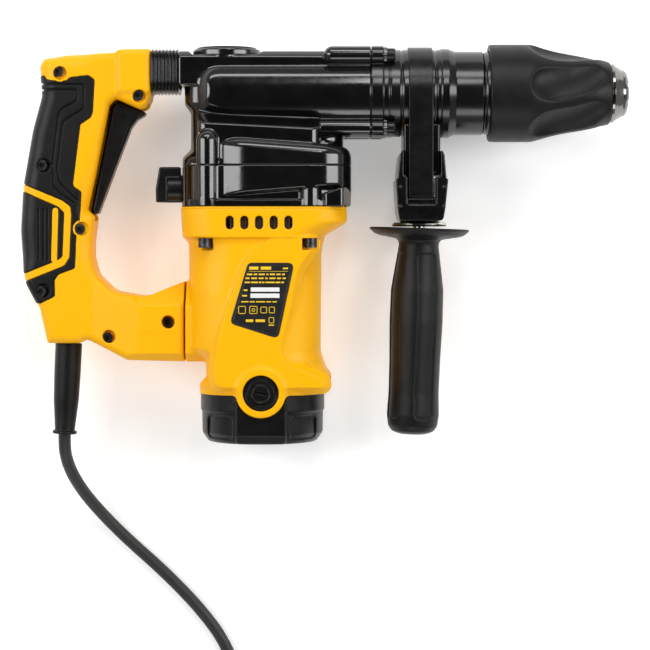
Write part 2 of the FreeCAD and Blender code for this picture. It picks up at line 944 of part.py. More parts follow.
def make_rotor():
    core = new_body("armature")
    place(core, S.motor_x)
    inner = S.shaft_radius + 0.01
    pad(core, "XZ_Plane", 109, 58, ring(0, 0, S.rotor_radius), ring(0, 0, inner))
    slot = pocket(
        core,
        "XZ_Plane",
        108,
        60,
        rectangle(S.rotor_radius - 1.6, S.rotor_radius + 1, size(-1.1), size(1.1)),
    )
    round_pattern(core, slot, "Y_Axis", 12)
    commutator = cylinder(12, 18, S.motor_x, -198, 0, "y")
    keep(cut(commutator, cylinder(inner, 20, S.motor_x, -199, 0, "y")), "commutator")
    fan = new_body("fan")
    place(fan, S.motor_x)
    pad(fan, "XZ_Plane", 54.5, 14, ring(0, 0, 9), ring(0, 0, inner))
    pad(fan, "XZ_Plane", 54.5, 2, ring(0, 0, S.fan_radius), ring(0, 0, 8.5))
    blade = pad(
        fan,
        "XZ_Plane",
        56,
        12,
        [(8.6, -0.8), (20, 0.8), (S.fan_radius - 0.5, 5), (S.fan_radius - 1, 6.8), (20, 2.6), (8.6, 1)],
    )
    round_pattern(fan, blade, "Y_Axis", 11)
    shaft = cylinder(S.shaft_radius, 168.4, S.motor_x, -213, 0, "y")
    gear = direct(
        "pinion",
        gear_shape(SIZES["pinion_teeth"], SIZES["gear_module"], 10.0, 0.0),
        S.motor_x,
        -45,
        0,
    )
    keep(fused(shaft, gear), "rotor_shaft")


def make_bearings():
    cover_bottom = S.case_bottom - 4
    gap = S.running_gap
    rings = []
    for x, y, length, inner, outer in (
        (S.motor_x, cover_bottom, 4, S.shaft_radius + gap, 11),
        (S.motor_x, -213.5, 8, S.shaft_radius + gap, 11),
        (CRANK_X, cover_bottom, 4, 5 + gap, 9),
        (LAY_X, cover_bottom, 4, 4 + gap, 8),
    ):
        shell = cylinder(outer, length, x, y, 0, "y")
        rings.append(cut(shell, cylinder(inner, length + 2, x, y - 1, 0, "y")))
    keep(grouped(*rings), "shaft_bearings")


def make_label_plate():
    body = new_body("label_plate")
    corners = [(-238, -107.1), (-248.7, -144.7), (-220, -154.1), (-210.1, -107.1)]
    pad(body, "XY_Plane", S.flank, 0.4, corners)


# ------------------------------------------------------------------ gears and hammer mechanism


def make_crank_gear():
    teeth = SIZES["crank_teeth"]
    half_pitch = math.pi / teeth
    gear = direct("crank_wheel", gear_shape(teeth, SIZES["gear_module"], 8.0, half_pitch), CRANK_X, -44, 0)
    shaft = cylinder(5, 32.5, CRANK_X, -50.2, 0, "y")
    disc = cylinder(16, 6, CRANK_X, -18, 0, "y")
    pin = cylinder(4, 7.4, CRANK_X + S.crank_throw, -12, 0, "y")
    keep(fused(gear, shaft, disc, pin), "crank_gear")


def make_layshaft():
    teeth = SIZES["layshaft_teeth"]
    facing = math.pi + math.pi / teeth
    gear = direct("lay_wheel", gear_shape(teeth, SIZES["gear_module"], 7.0, facing), LAY_X, -44, 0)
    shaft = cylinder(4, 26.95, LAY_X, -50.2, 0, "y")
    keep(fused(gear, shaft), "layshaft_gear")
    pinion = bevel_shape(
        SIZES["bevel_pinion_teeth"],
        SIZES["bevel_ring_teeth"],
        SIZES["bevel_module"],
        5.4,
        0.0,
        2.9,
        0.0,
    )
    upright = Rotation(Vector(1, 0, 0), -90)
    keep(direct("bevel_pinion", pinion, LAY_X, 0, 0, upright), "bevel_pinion")


def make_bevel_gear():
    teeth = SIZES["bevel_ring_teeth"]
    gear = bevel_shape(
        teeth,
        SIZES["bevel_pinion_teeth"],
        SIZES["bevel_module"],
        5.2,
        SIZES["spindle_radius"],
        5.0,
        math.pi / teeth,
    )
    forward = Rotation(Vector(0, 1, 0), -90)
    keep(direct("bevel_gear", gear, LAY_X, 0, 0, forward), "bevel_gear")


def make_hammer():
    pin_x = CRANK_X + S.crank_throw + S.rod_length
    radius = S.cylinder_radius - S.running_gap
    piston = cylinder(radius, 32, pin_x - 5, along="x")
    slot = block(pin_x - 6, pin_x + 8, -4.5, 4.5, -9, 9)
    pin = cylinder(2.5, 12, pin_x, -6, 0, "y")
    keep(fused(cut(piston, slot), pin), "piston")
    rod = new_body("connecting_rod")
    crank_end = CRANK_X + S.crank_throw
    pad(
        rod,
        "XZ_Plane",
        -4,
        8,
        [
            (crank_end, 8),
            (crank_end - 8, 0, 8),
            (crank_end, -8, 8),
            (crank_end + 9, -3.6),
            (pin_x, -5),
            (pin_x + 5, 0, 5),
            (pin_x, 5, 5),
            (crank_end + 9, 3.6),
        ],
        ring(crank_end, 0, 4.4),
        ring(pin_x, 0, 2.55),
    )
    nose = cylinder(6.5, 12, -118, along="x")
    keep(fused(cylinder(radius, 32, -150, along="x"), nose), "striker")
    tip = cylinder(4.9, 8, -60, along="x")
    keep(fused(cylinder(6.95, 32, -92, along="x"), tip), "impact_bolt")


# ------------------------------------------------------------------ mode knob


def make_mode_knob():
    body = new_body("mode_knob")
    place(body, 0, -60, 0)
    pad(body, "YZ_Plane", -289.8, 10.3, ring(0, 0, 8.5))
    wing = [(14, -3.2), (14, 3.2), (8, 4.6), (-6, 4.6), (-8.7, 3.2), (-8.7, -3.2), (-6, -4.6), (8, -4.6)]
    pad(body, "YZ_Plane", -296.7, 11, wing)
    pad(body, "YZ_Plane", -280, 9, ring(0, 0, 3))


# ------------------------------------------------------------------ rear handle

# Outline of the handle seen from the right, anticlockwise from the top of the arm that meets the bellows
HANDLE_OUTLINE = [
    (-298.6, 26.8),
    (-318, 26.1),
    (-320, 24.6),
    (-351, 23),
    (-366, 20.8),
    (-368, 15.8, 4),
    (-367, 5.7),
    (-366.4, -2.5),
    (-372.3, -23.3),
    (-378.6, -58.6, 140),
    (-380.5, -86.3, 150),
    (-378.2, -117, 150),
    (-370.1, -132.3, 22),
    (-368.7, -134.6),
    (-363.8, -156.9),
    (-343.5, -156.9),
    (-339.1, -154.4),
    (-313.5, -167.3),
    (-277.9, -168.2),
    (-277.9, -117.9),
    (-302.4, -127.9),
    (-330.2, -118.2, -40),
    (-335.8, -105, -18),
    (-335.8, -93.9),
    (-334, -77.5),
    (-338, -73.7),
    (-333.2, -50.7),
    (-324.5, -7.6),
    (-320.7, -4.1),
    (-305, -10.7),
    (-302.4, -9.5),
    (-299.2, -3.2),
    (-298.7, 3.2),
]

RUBBER_OUTLINE = [
    (-352, 11),
    (-341, 11.7),
    (-337, 9),
    (-338.5, -12),
    (-346.5, -19.5),
    (-351, -56.7),
    (-346.2, -61.7),
    (-347.4, -81),
    (-348.5, -108),
    (-360, -114),
    (-363, -125),
    (-374, -125),
    (-377, -114),
    (-378, -86),
    (-376, -59),
    (-370, -24),
    (-364, -3),
    (-364.5, 6),
]

HANDLE_SCREWS = (
    (-356.4, 12.6),
    (-306.6, -2.2),
    (-366.7, -45.5),
    (-343.2, -85.4),
    (-367.7, -124.4),
    (-326.1, -153.6),
)
PIVOT = (SIZES["pivot_x"], SIZES["pivot_y"])


def flat_face(points):
    """A flat face in the XY plane, outside any body, from the outline of a sketch."""
    sketch = DOC.addObject("Sketcher::SketchObject", "Outline")
    draw_outline(sketch, points)
    face = DOC.addObject("Part::Face", "Flat")
    face.Sources = [sketch]
    face.FaceMakerClass = "Part::FaceMakerBullseye"
    return face


def inset(source, distance):
    feature = DOC.addObject("Part::Offset2D", "Inset")
    feature.Source = source
    feature.Mode = "Skin"
    feature.Join = "Arc"
    bind(feature, Value=-size(distance))
    return feature


def raised(source, start, height):
    """Extrude a flat outline from z = start."""
    feature = DOC.addObject("Part::Extrusion", "Extrusion")
    feature.Base = source
    feature.DirMode = "Custom"
    feature.Dir = Vector(0, 0, 1)
    feature.Solid = True
    bind(feature, LengthFwd=height)
    place(feature, 0, 0, start)
    return feature


def make_handle():
    outline = flat_face(HANDLE_OUTLINE)
    rubber = flat_face(RUBBER_OUTLINE)
    layers = ((0.0, 0.0), (2.2, 12.5), (5.0, 16.5))
    for side, right in ((1, True), (-1, False)):

        def layer(source, low, high, side=side):
            start = low if side > 0 else -size(high)
            return raised(source, start, size(high) - low)

        heights = [12.5, 16.5, S.handle_half]
        outer = []
        for (distance, low), high in zip(layers, heights, strict=True):
            source = outline if distance == 0 else inset(outline, distance)
            outer.append(layer(source, low, high))
        solid = fused(*outer)
        cavity = layer(inset(outline, S.handle_wall), 0, 13.5)
        bosses = [
            cylinder(4.6, 13.6, x, y, 0 if side > 0 else -13.6, "z") for x, y in HANDLE_SCREWS
        ]
        pivot_boss = [
            cylinder(6, 5.2, S.pivot_x, S.pivot_y, 8.4 if side > 0 else -13.6, "z"),
        ]
        bores = [
            cylinder(1.85, 50, x, y, -25, "z") for x, y in (*HANDLE_SCREWS, PIVOT)
        ]
        heads = (
            [cylinder(4, 8, x, y, 15, "z") for x, y in (*HANDLE_SCREWS, PIVOT)]
            if right
            else []
        )
        ends = [
            cylinder(5, 5, -353.6, -159, 0, "y"),
            block(-300, -275, S.pivot_y - 10, S.pivot_y + 10, -8.4, 8.4),
            block(-343.5, -315, -80, -3, -S.trigger_half - 0.6, S.trigger_half + 0.6),
            block(-315.1, -301, -14, -5.5, -S.trigger_half - 0.6, S.trigger_half + 0.6),
        ]
        pad_piece = common(solid, layer(rubber, 15.2, 21))
        hollow = cut(solid, cavity)
        shell = cut(fused(hollow, *bosses, *pivot_boss), pad_piece, *bores, *heads, *ends)
        drilled = cut(pad_piece, *heads) if heads else pad_piece
        name = "right" if right else "left"
        keep(shell, "handle_shell_" + name)
        keep(drilled, "grip_rubber_" + name)


def make_handle_screws():
    screws = []
    for x, y in (*HANDLE_SCREWS, PIVOT):
        head = cylinder(3.4, 2.4, x, y, 15, "z")
        shank = cylinder(1.8, 27, x, y, -11.9, "z")
        slot = cylinder(1.4, 1.6, x, y, 16.2, "z")
        screws.append(cut(fused(head, shank), slot))
    keep(grouped(*screws), "handle_screws")


def make_pivot_sleeve():
    outer = cylinder(4 - S.running_gap, 16.6, S.pivot_x, S.pivot_y, -8.3, "z")
    keep(cut(outer, cylinder(1.82, 20, S.pivot_x, S.pivot_y, -10, "z")), "pivot_sleeve")


def make_trigger():
    body = new_body("trigger")
    half = S.trigger_half
    outline = [
        (-319.6, -4.6),
        (-322.4, -5.6),
        (-325.6, -8.6),
        (-333.6, -46),
        (-337.6, -72),
        (-335.5, -76.2),
        (-332.6, -75.8),
        (-319.2, -39.1),
        (-312.5, -21.4),
        (-308.6, -16.3),
        (-304.3, -13.9, -30),
        (-303.6, -11.8, 2),
    ]
    pad(body, "XY_Plane", -half, half * 2, outline)


def make_switch():
    base = block(-361.5, -343.6, -43, -8, -10, 10)
    plunger = cylinder(3, 3, -344, -22, 0, "x")
    keep(fused(base, plunger), "switch")


def make_cord_clamp():
    keep(block(-358.5, -348, -142, -137, -9, 9), "cord_clamp")


def make_bellows():
    body = new_body("bellows")
    low, high, half = size(-0.8), size(27.2), size(20)
    start, length = -298.6, 17.5
    pad(body, "YZ_Plane", start, length, rounded(low + 2, high - 2, -half + 2, half - 2, 6))
    rib = pad(body, "YZ_Plane", start, 1.5, rounded(low, high, -half, half, 8))
    line_pattern(body, rib, "X_Axis", 16.0, 6)
    pocket(body, "YZ_Plane", start - 1, length + 2, rounded(low + 4, high - 4, -half + 4, half - 4, 5))


def make_damper_spring():
    shape = coil_shape(6.5, 1.8, 15.0, 4)
    keep(direct("damper_spring", shape, -297.5, 13.2, 0, ALONG["x"]), "damper_spring")


# ------------------------------------------------------------------ side handle


def make_side_clamp():
    inner = S.collar_radius + S.running_gap
    outer = S.collar_radius + 1.4
    leg_end = -66.0
    band = new_body("clamp_band")
    pad(
        band,
        "YZ_Plane",
        -138.1,
        15.2,
        [
            (leg_end, -outer),
            (0, -outer),
            (outer, 0, outer),
            (0, outer, outer),
            (leg_end, outer),
            (leg_end, inner),
            (0, inner),
            (inner, 0, -inner),
            (0, -inner, -inner),
            (leg_end, -inner),
        ],
    )
    saddle = new_body("clamp_saddle")
    pad(saddle, "YZ_Plane", -141.3, 22.9, rectangle(size(-52), size(-20.5), -24, 24))
    pocket(saddle, "YZ_Plane", -143, 27, ring(0, 0, inner))
    yoke = new_body("side_yoke")
    pad(
        yoke,
        "XY_Plane",
        -30.5,
        61,
        [
            (-144, -80.4),
            (-116.8, -80.4),
            (-113.7, -54.8),
            (-116.2, -38),
            (-118.2, -36, 2),
            (-142.6, -36),
            (-144.6, -38, 2),
            (-146.2, -54.8),
        ],
    )
    pocket(yoke, "XY_Plane", -32, 64, rectangle(size(-141.4), size(-118.3), size(-70.6), size(-34)))
    pocket(yoke, "XZ_Plane", 69, 12, ring(S.grip_x, 0, 4.6))


def make_clamp_bolt():
    tilt = Rotation(Vector(0, 0, 1), -SIZES["grip_tilt"])
    body = new_body("clamp_bolt")
    place(body, S.grip_x, S.grip_top, 0, tilt)
    pad(body, "XZ_Plane", -31.4, 90, ring(0, 0, 4))


def make_grip_washer():
    disc = cylinder(17.5, 3.3, S.grip_x, S.grip_top, 0, "y")
    keep(cut(disc, cylinder(4.1, 6, S.grip_x, S.grip_top - 1, 0, "y")), "grip_washer")


def make_side_grip():
    body = new_body("side_grip")
    tilt = Rotation(Vector(0, 0, 1), -SIZES["grip_tilt"])
    place(body, S.grip_x, S.grip_top, 0, tilt)
    length = S.grip_length
    turned(
        body,
        [
            (4.3, -1),
            (29, -1),
            (31.6, -2.6, -3),
            (31.6, -4.2),
            (24, -6.2),
            (12.6, -8.2),
            (12.4, -12, 6),
            (16.8, -40, 60),
            (16.9, -60, -90),
            (16, -100),
            (16.4, 12 - length),
            (14.6, 4 - length, -20),
            (11, -length, -8),
            (0, -length),
            (0, -61),
            (4.3, -61),
        ],
        axis="V_Axis",
    )


# ------------------------------------------------------------------ cord


def make_cord_guard():
    turn = Rotation(Vector(0, 0, 1), -2.9) * Rotation(Vector(1, 0, 0), 90)
    body = cone(8.5, 6.4, 57.4, -352.1, -157.4, 0, turn)
    lip_place = turn.multVec(Vector(0, 0, 55.2))
    lip = cone(7.5, 7.5, 2.2, -352.1 + lip_place.x, -157.4 + lip_place.y, lip_place.z, turn)
    keep(fused(body, lip), "cord_guard")


PLUG_REAR = (-140.0, -469.0, -25.0)
FLOOR_RUN = -39.0
CORD_ROUTE = [
    (-355.0, -214.7, 0.0),
    (-355.4, -223.0, -1.6),
    (-354.6, -232.0, -6.5),
    (-351.6, -242.5, -14.0),
    (-346.6, -253.0, -22.5),
    (-340.2, -263.0, -30.0),
    (-332.4, -272.8, -35.6),
    (-323.4, -282.6, -38.4),
    (-312.4, -293.0, FLOOR_RUN),
    (-299.4, -304.6, FLOOR_RUN),
    (-285.0, -318.6, FLOOR_RUN),
    (-271.0, -333.8, FLOOR_RUN),
    (-258.6, -350.0, FLOOR_RUN),
    (-250.4, -367.0, FLOOR_RUN),
    (-249.8, -382.5, FLOOR_RUN),
    (-253.6, -395.5, FLOOR_RUN),
    (-260.9, -405.5, FLOOR_RUN),
]



def rounded_route(points, share=0.45):
    """Straight runs joined by tangent arcs. Each arc is as large as its two runs allow."""
    edges, radii = [], []
    start = points[0]
    for before, corner, after in zip(points, points[1:], points[2:], strict=False):
        back, ahead = before - corner, after - corner
        reach = share * min(back.Length, ahead.Length)
        turn = math.pi - back.getAngle(ahead)
        radii.append(reach / math.tan(turn / 2))
        back.normalize()
        ahead.normalize()
        first, last = corner + back * reach, corner + ahead * reach
        middle_way = (back + ahead).normalize()
        radius = radii[-1]
        centre = corner + middle_way * math.hypot(reach, radius)
        middle = centre - middle_way * radius
        edges.append(Part.LineSegment(start, first).toShape())
        edges.append(Part.Arc(first, middle, last).toShape())
        start = last
    edges.append(Part.LineSegment(start, points[-1]).toShape())
    return Part.Wire(edges), radii


def make_cord():
    path, radii = rounded_route([Vector(*point) for point in CORD_ROUTE])
    radius = SIZES["cord_radius"]
    heading = path.Edges[0].tangentAt(path.Edges[0].FirstParameter)
    profile = Part.Wire(Part.makeCircle(radius, path.Edges[0].Vertexes[0].Point, heading))
    tube = path.makePipeShell([profile], True, True)
    print("cord radii", " ".join(f"{value:.0f}" for value in radii))
    print(f"cord volume {tube.Volume:.0f}, section x length {math.pi * radius**2 * path.Length:.0f}")
    keep(direct("cord", tube), "cord")
    coil = new_body("cord_coil")
    place(coil, S.coil_x, S.coil_y, -S.flank)
    middle = (S.coil_inner + S.coil_outer) / 2
    half = (S.coil_outer - S.coil_inner) / 2
    section = rounded(middle - half, middle + half, size(0), S.coil_height, 4)
    turned(coil, section, axis="V_Axis")
    # The end that leaves the coil for the plug
    leaving = 20
    lift = size(PLUG_REAR[2]) + S.flank
    aside = S.coil_y - PLUG_REAR[1]
    pad(
        coil,
        "YZ_Plane",
        leaving,
        PLUG_REAR[0] + 2 - S.coil_x - leaving,
        ring(lift, aside, S.cord_radius),
    )
    coil.Placement = Placement(coil.Placement.Base, Rotation(Vector(1, 0, 0), 90))


def make_plug():
    body = new_body("plug_body")
    base_x, base_y, base_z = PLUG_REAR
    place(body, base_x, base_y, base_z)
    turned(
        body,
        [
            (0, 0),
            (0, 5),
            (14, 7),
            (24, 12, 12),
            (34, 17.5, -12),
            (44, 17.5),
            (44, 0),
        ],
    )
    pins = [
        cylinder(2.4, 19, base_x + 44, base_y + side * 9.5, base_z, "x") for side in (1, -1)
    ]
    keep(grouped(*pins), "plug_pins")


# ------------------------------------------------------------------ whole tool

MAKERS = (
    make_tool_holder,
    make_spindle_tube,
    make_nose_cap,
    make_locking_balls,
    make_chuck_sleeve,
    make_lock_ring,
    make_sleeve_spring,
    make_barrel,
    make_barrel_screws,
    make_spindle_bearings,
    make_oil_seal,
    make_gear_case,
    make_gear_cover,
    make_fan_housing,
    make_housing_screws,
    make_grease_cap,
    make_motor_housing,
    make_end_cap,
    make_stator,
    make_brushes,
    make_rotor,
    make_bearings,
    make_label_plate,
    make_crank_gear,
    make_layshaft,
    make_bevel_gear,
    make_hammer,
    make_mode_knob,
    make_handle,
    make_handle_screws,
    make_pivot_sleeve,
    make_trigger,
    make_switch,
    make_cord_clamp,
    make_bellows,
    make_damper_spring,
    make_side_clamp,
    make_clamp_bolt,
    make_grip_washer,
    make_side_grip,
    make_cord_guard,
    make_cord,
    make_plug,
)

for maker in MAKERS:
    maker()
    DOC.recompute()

failed = [item.Name for item in DOC.Objects if {"Invalid", "Error"} & set(item.State)]
for label, piece in PIECES.items():
    if piece.Shape.isNull() or not piece.Shape.isValid() or not piece.Shape.Solids:
        failed.append(label)
if failed:
    raise SystemExit("failed: " + ", ".join(failed))

os.makedirs("parts", exist_ok=True)
for label, piece in PIECES.items():
    piece.Shape.exportStep(f"parts/{label}.step")
print(len(PIECES), "pieces")
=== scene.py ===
"""Looks of a rotary hammer that lies on its left flank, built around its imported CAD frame.

The row frame is in metres: +X forward out of the tool bore, +Y the tool's top, +Z up from the surface.
Sizes and places below are in millimetres in that frame, and become metres when a piece's mesh is made.
Most pieces are worked out as distance fields (negative inside) and meshed from them.
"""

import json
import math

import bmesh
import bpy
import numpy as np
import openvdb
from mathutils import Matrix, Vector


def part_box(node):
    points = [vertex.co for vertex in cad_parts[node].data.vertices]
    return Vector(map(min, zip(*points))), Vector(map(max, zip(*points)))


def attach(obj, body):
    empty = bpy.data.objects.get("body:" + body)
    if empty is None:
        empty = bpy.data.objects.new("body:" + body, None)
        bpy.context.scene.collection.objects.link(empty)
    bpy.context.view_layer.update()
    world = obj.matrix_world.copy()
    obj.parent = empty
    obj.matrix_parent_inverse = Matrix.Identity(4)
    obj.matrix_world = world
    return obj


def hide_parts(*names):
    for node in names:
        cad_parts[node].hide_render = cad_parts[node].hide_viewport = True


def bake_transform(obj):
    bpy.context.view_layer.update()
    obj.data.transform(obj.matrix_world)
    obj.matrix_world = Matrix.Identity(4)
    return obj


MM = 0.001

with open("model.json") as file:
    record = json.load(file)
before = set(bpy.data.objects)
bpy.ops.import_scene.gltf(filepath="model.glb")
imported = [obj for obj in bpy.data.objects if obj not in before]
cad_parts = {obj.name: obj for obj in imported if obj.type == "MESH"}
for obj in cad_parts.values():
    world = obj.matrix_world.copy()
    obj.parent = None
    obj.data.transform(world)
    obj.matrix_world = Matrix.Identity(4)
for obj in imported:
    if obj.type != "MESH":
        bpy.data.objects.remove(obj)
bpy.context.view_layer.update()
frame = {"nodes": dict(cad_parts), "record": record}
FLOOR_Z = float(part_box("motor_housing")[0][2])

# ------------------------------------------------------------------ camera, floor and light

CAMERA_POINT = Vector((-0.1896, -0.0945, 1.4))
CAMERA_AIM = Vector((-0.19, -0.1460, 0.0))
FRAME_WIDTH = 0.4113  # what the picture takes in at the tool's middle plane
SENSOR = 36.0

SKY_LOW, SKY_HIGH = 0.34, 0.015  # the world's light near the horizon and straight above
FLOOR_GLOW = 0.34  # the floor is lit from within a little, as a light table is
FLOOR_HALF, FLOOR_DROP = 4.0, 0.0002


def node(tree, kind, values=None, **settings):
    """A new shader node, with its unlinked inputs and its settings."""
    made = tree.nodes.new("ShaderNode" + kind)
    for key, value in settings.items():
        setattr(made, key, value)
    for key, value in (values or {}).items():
        made.inputs[key].default_value = value
    return made


def fill(shader, **values):
    """Plain values for a shader's inputs."""
    for key, value in values.items():
        shader.inputs[key.replace("_", " ")].default_value = value


def make_camera():
    data = bpy.data.cameras.new("camera")
    camera = bpy.data.objects.new("camera", data)
    bpy.context.collection.objects.link(camera)
    camera.location = CAMERA_POINT
    back = (CAMERA_POINT - CAMERA_AIM).normalized()
    right = Vector((0, 1, 0)).cross(back).normalized()
    up = back.cross(right)
    camera.rotation_euler = Matrix((right, up, back)).transposed().to_euler()
    data.sensor_width = SENSOR
    data.lens = SENSOR * (CAMERA_POINT - CAMERA_AIM).length / FRAME_WIDTH
    data.clip_start, data.clip_end = 0.01, 20.0
    data.dof.use_dof = False
    bpy.context.scene.camera = camera


def area_light(name, place, aim, width, height, power):
    data = bpy.data.lights.new(name, "AREA")
    data.shape = "RECTANGLE"
    data.size, data.size_y = width, height
    data.energy = power
    light = bpy.data.objects.new(name, data)
    light.location = place
    light.rotation_euler = (Vector(aim) - Vector(place)).to_track_quat("-Z", "Y").to_euler()
    bpy.context.collection.objects.link(light)


def make_world():
    """Soft light all round at low heights, and none from straight above."""
    world = bpy.data.worlds.new("world")
    world.use_nodes = True
    tree = world.node_tree
    background = tree.nodes["Background"]
    direction = node(tree, "TexCoord").outputs["Generated"]
    parts = node(tree, "SeparateXYZ")
    span = {"From Min": 0.45, "From Max": 0.85, "To Min": SKY_LOW, "To Max": SKY_HIGH}
    ramp = node(tree, "MapRange", span, interpolation_type="SMOOTHSTEP")
    tree.links.new(direction, parts.inputs["Vector"])
    tree.links.new(parts.outputs["Z"], ramp.inputs["Value"])
    tree.links.new(ramp.outputs["Result"], background.inputs["Strength"])
    background.inputs["Color"].default_value = (1, 1, 1, 1)
    bpy.context.scene.world = world


def make_stage():
    mesh = bpy.data.meshes.new("floor")
    corners = [
        (x * FLOOR_HALF, y * FLOOR_HALF, FLOOR_Z - FLOOR_DROP)
        for x, y in ((-1, -1), (1, -1), (1, 1), (-1, 1))
    ]
    mesh.from_pydata(corners, [], [(0, 1, 2, 3)])
    floor = bpy.data.objects.new("floor", mesh)
    bpy.context.collection.objects.link(floor)
    material = bpy.data.materials.new("floor")
    material.use_nodes = True
    shader = material.node_tree.nodes["Principled BSDF"]
    fill(shader, Base_Color=(0.93, 0.93, 0.93, 1), Roughness=0.8, Specular_IOR_Level=0.2)
    fill(shader, Emission_Color=(1, 1, 1, 1), Emission_Strength=FLOOR_GLOW)
    mesh.materials.append(material)
    aim = (-0.19, -0.09, 0)
    area_light("left_box", (-1.25, 0.15, 0.95), aim, 0.5, 1.1, 10.5)
    area_light("right_box", (0.85, 0.1, 0.95), aim, 0.45, 1.1, 10)
    area_light("top_box", (-0.2, 1.15, 0.95), aim, 1.3, 0.42, 10)
    area_light("low_box", (-0.2, -1.35, 0.9), aim, 1.3, 0.5, 6)
    area_light("barrel_box", (-0.08, 0.56, 1.0), (-0.13, 0, 0), 0.14, 0.24, 1.2)
    make_world()
    bpy.context.scene.view_settings.view_transform = "Standard"


make_camera()
make_stage()

# ------------------------------------------------------------------ materials


GRAIN_DEPTH = 0.0003  # metres that a full-strength grain stands out


def noise(tree, coords, scale, detail=3.0, rough=0.55):
    made = node(tree, "TexNoise", {"Scale": scale, "Detail": detail, "Roughness": rough})
    tree.links.new(coords, made.inputs["Vector"])
    return made.outputs["Fac"]


def spread(tree, value, low, high, start=0.3, end=0.7):
    made = node(tree, "MapRange", {"From Min": start, "From Max": end, "To Min": low, "To Max": high})
    tree.links.new(value, made.inputs["Value"])
    return made.outputs["Result"]


def paint(
    name,
    colour,
    rough,
    metallic=0.0,
    shift=0.06,
    rough_shift=0.06,
    grain=2600.0,
    relief=0.08,
    broad=60.0,
    specular=0.5,
    stretch=None,
    edge=None,
):
    """A material with broad colour and gloss variation and a fine surface grain.

    stretch draws the grain out along an axis, as grinding does; edge is a colour for worn edges.
    """
    material = bpy.data.materials.new(name)
    material.use_nodes = True
    tree = material.node_tree
    link = tree.links.new
    shader = tree.nodes["Principled BSDF"]
    coords = node(tree, "TexCoord").outputs["Object"]
    fine_coords = coords
    if stretch:
        mapping = node(tree, "Mapping", {"Scale": stretch})
        link(coords, mapping.inputs["Vector"])
        fine_coords = mapping.outputs["Vector"]
    broad_noise = noise(tree, coords, broad, 4.0)
    fine_noise = noise(tree, fine_coords, grain, 2.0, 0.6)

    dark = [c * (1 - shift) for c in colour] + [1]
    light = [min(1.0, c * (1 + shift) + 0.01 * shift) for c in colour] + [1]
    mix = node(tree, "Mix", data_type="RGBA")
    mix.inputs["A"].default_value, mix.inputs["B"].default_value = dark, light
    link(spread(tree, broad_noise, 0.0, 1.0), mix.inputs["Factor"])
    tone = mix.outputs["Result"]
    if edge:
        geometry = node(tree, "NewGeometry")
        worn = spread(tree, geometry.outputs["Pointiness"], 0.0, 0.8, 0.53, 0.62)
        scuffs = noise(tree, coords, 420.0, 5.0, 0.7)
        broken = node(tree, "Math", operation="MULTIPLY")
        link(worn, broken.inputs[0])
        link(spread(tree, scuffs, 0.0, 1.0, 0.4, 0.62), broken.inputs[1])
        second = node(tree, "Mix", data_type="RGBA")
        link(tone, second.inputs["A"])
        second.inputs["B"].default_value = (*edge, 1)
        link(broken.outputs["Value"], second.inputs["Factor"])
        tone = second.outputs["Result"]
    link(tone, shader.inputs["Base Color"])

    gloss = node(tree, "Math", operation="ADD")
    smears = noise(tree, coords, broad * 2.3, 5.0, 0.65)
    fine_shift = rough_shift / 3
    link(spread(tree, smears, -rough_shift, rough_shift), gloss.inputs[0])
    link(spread(tree, fine_noise, rough - fine_shift, rough + fine_shift), gloss.inputs[1])
    link(gloss.outputs["Value"], shader.inputs["Roughness"])

    bump = node(tree, "Bump", {"Strength": relief, "Distance": GRAIN_DEPTH})
    link(fine_noise, bump.inputs["Height"])
    link(bump.outputs["Normal"], shader.inputs["Normal"])
    fill(shader, Metallic=metallic, Specular_IOR_Level=specular)
    return material


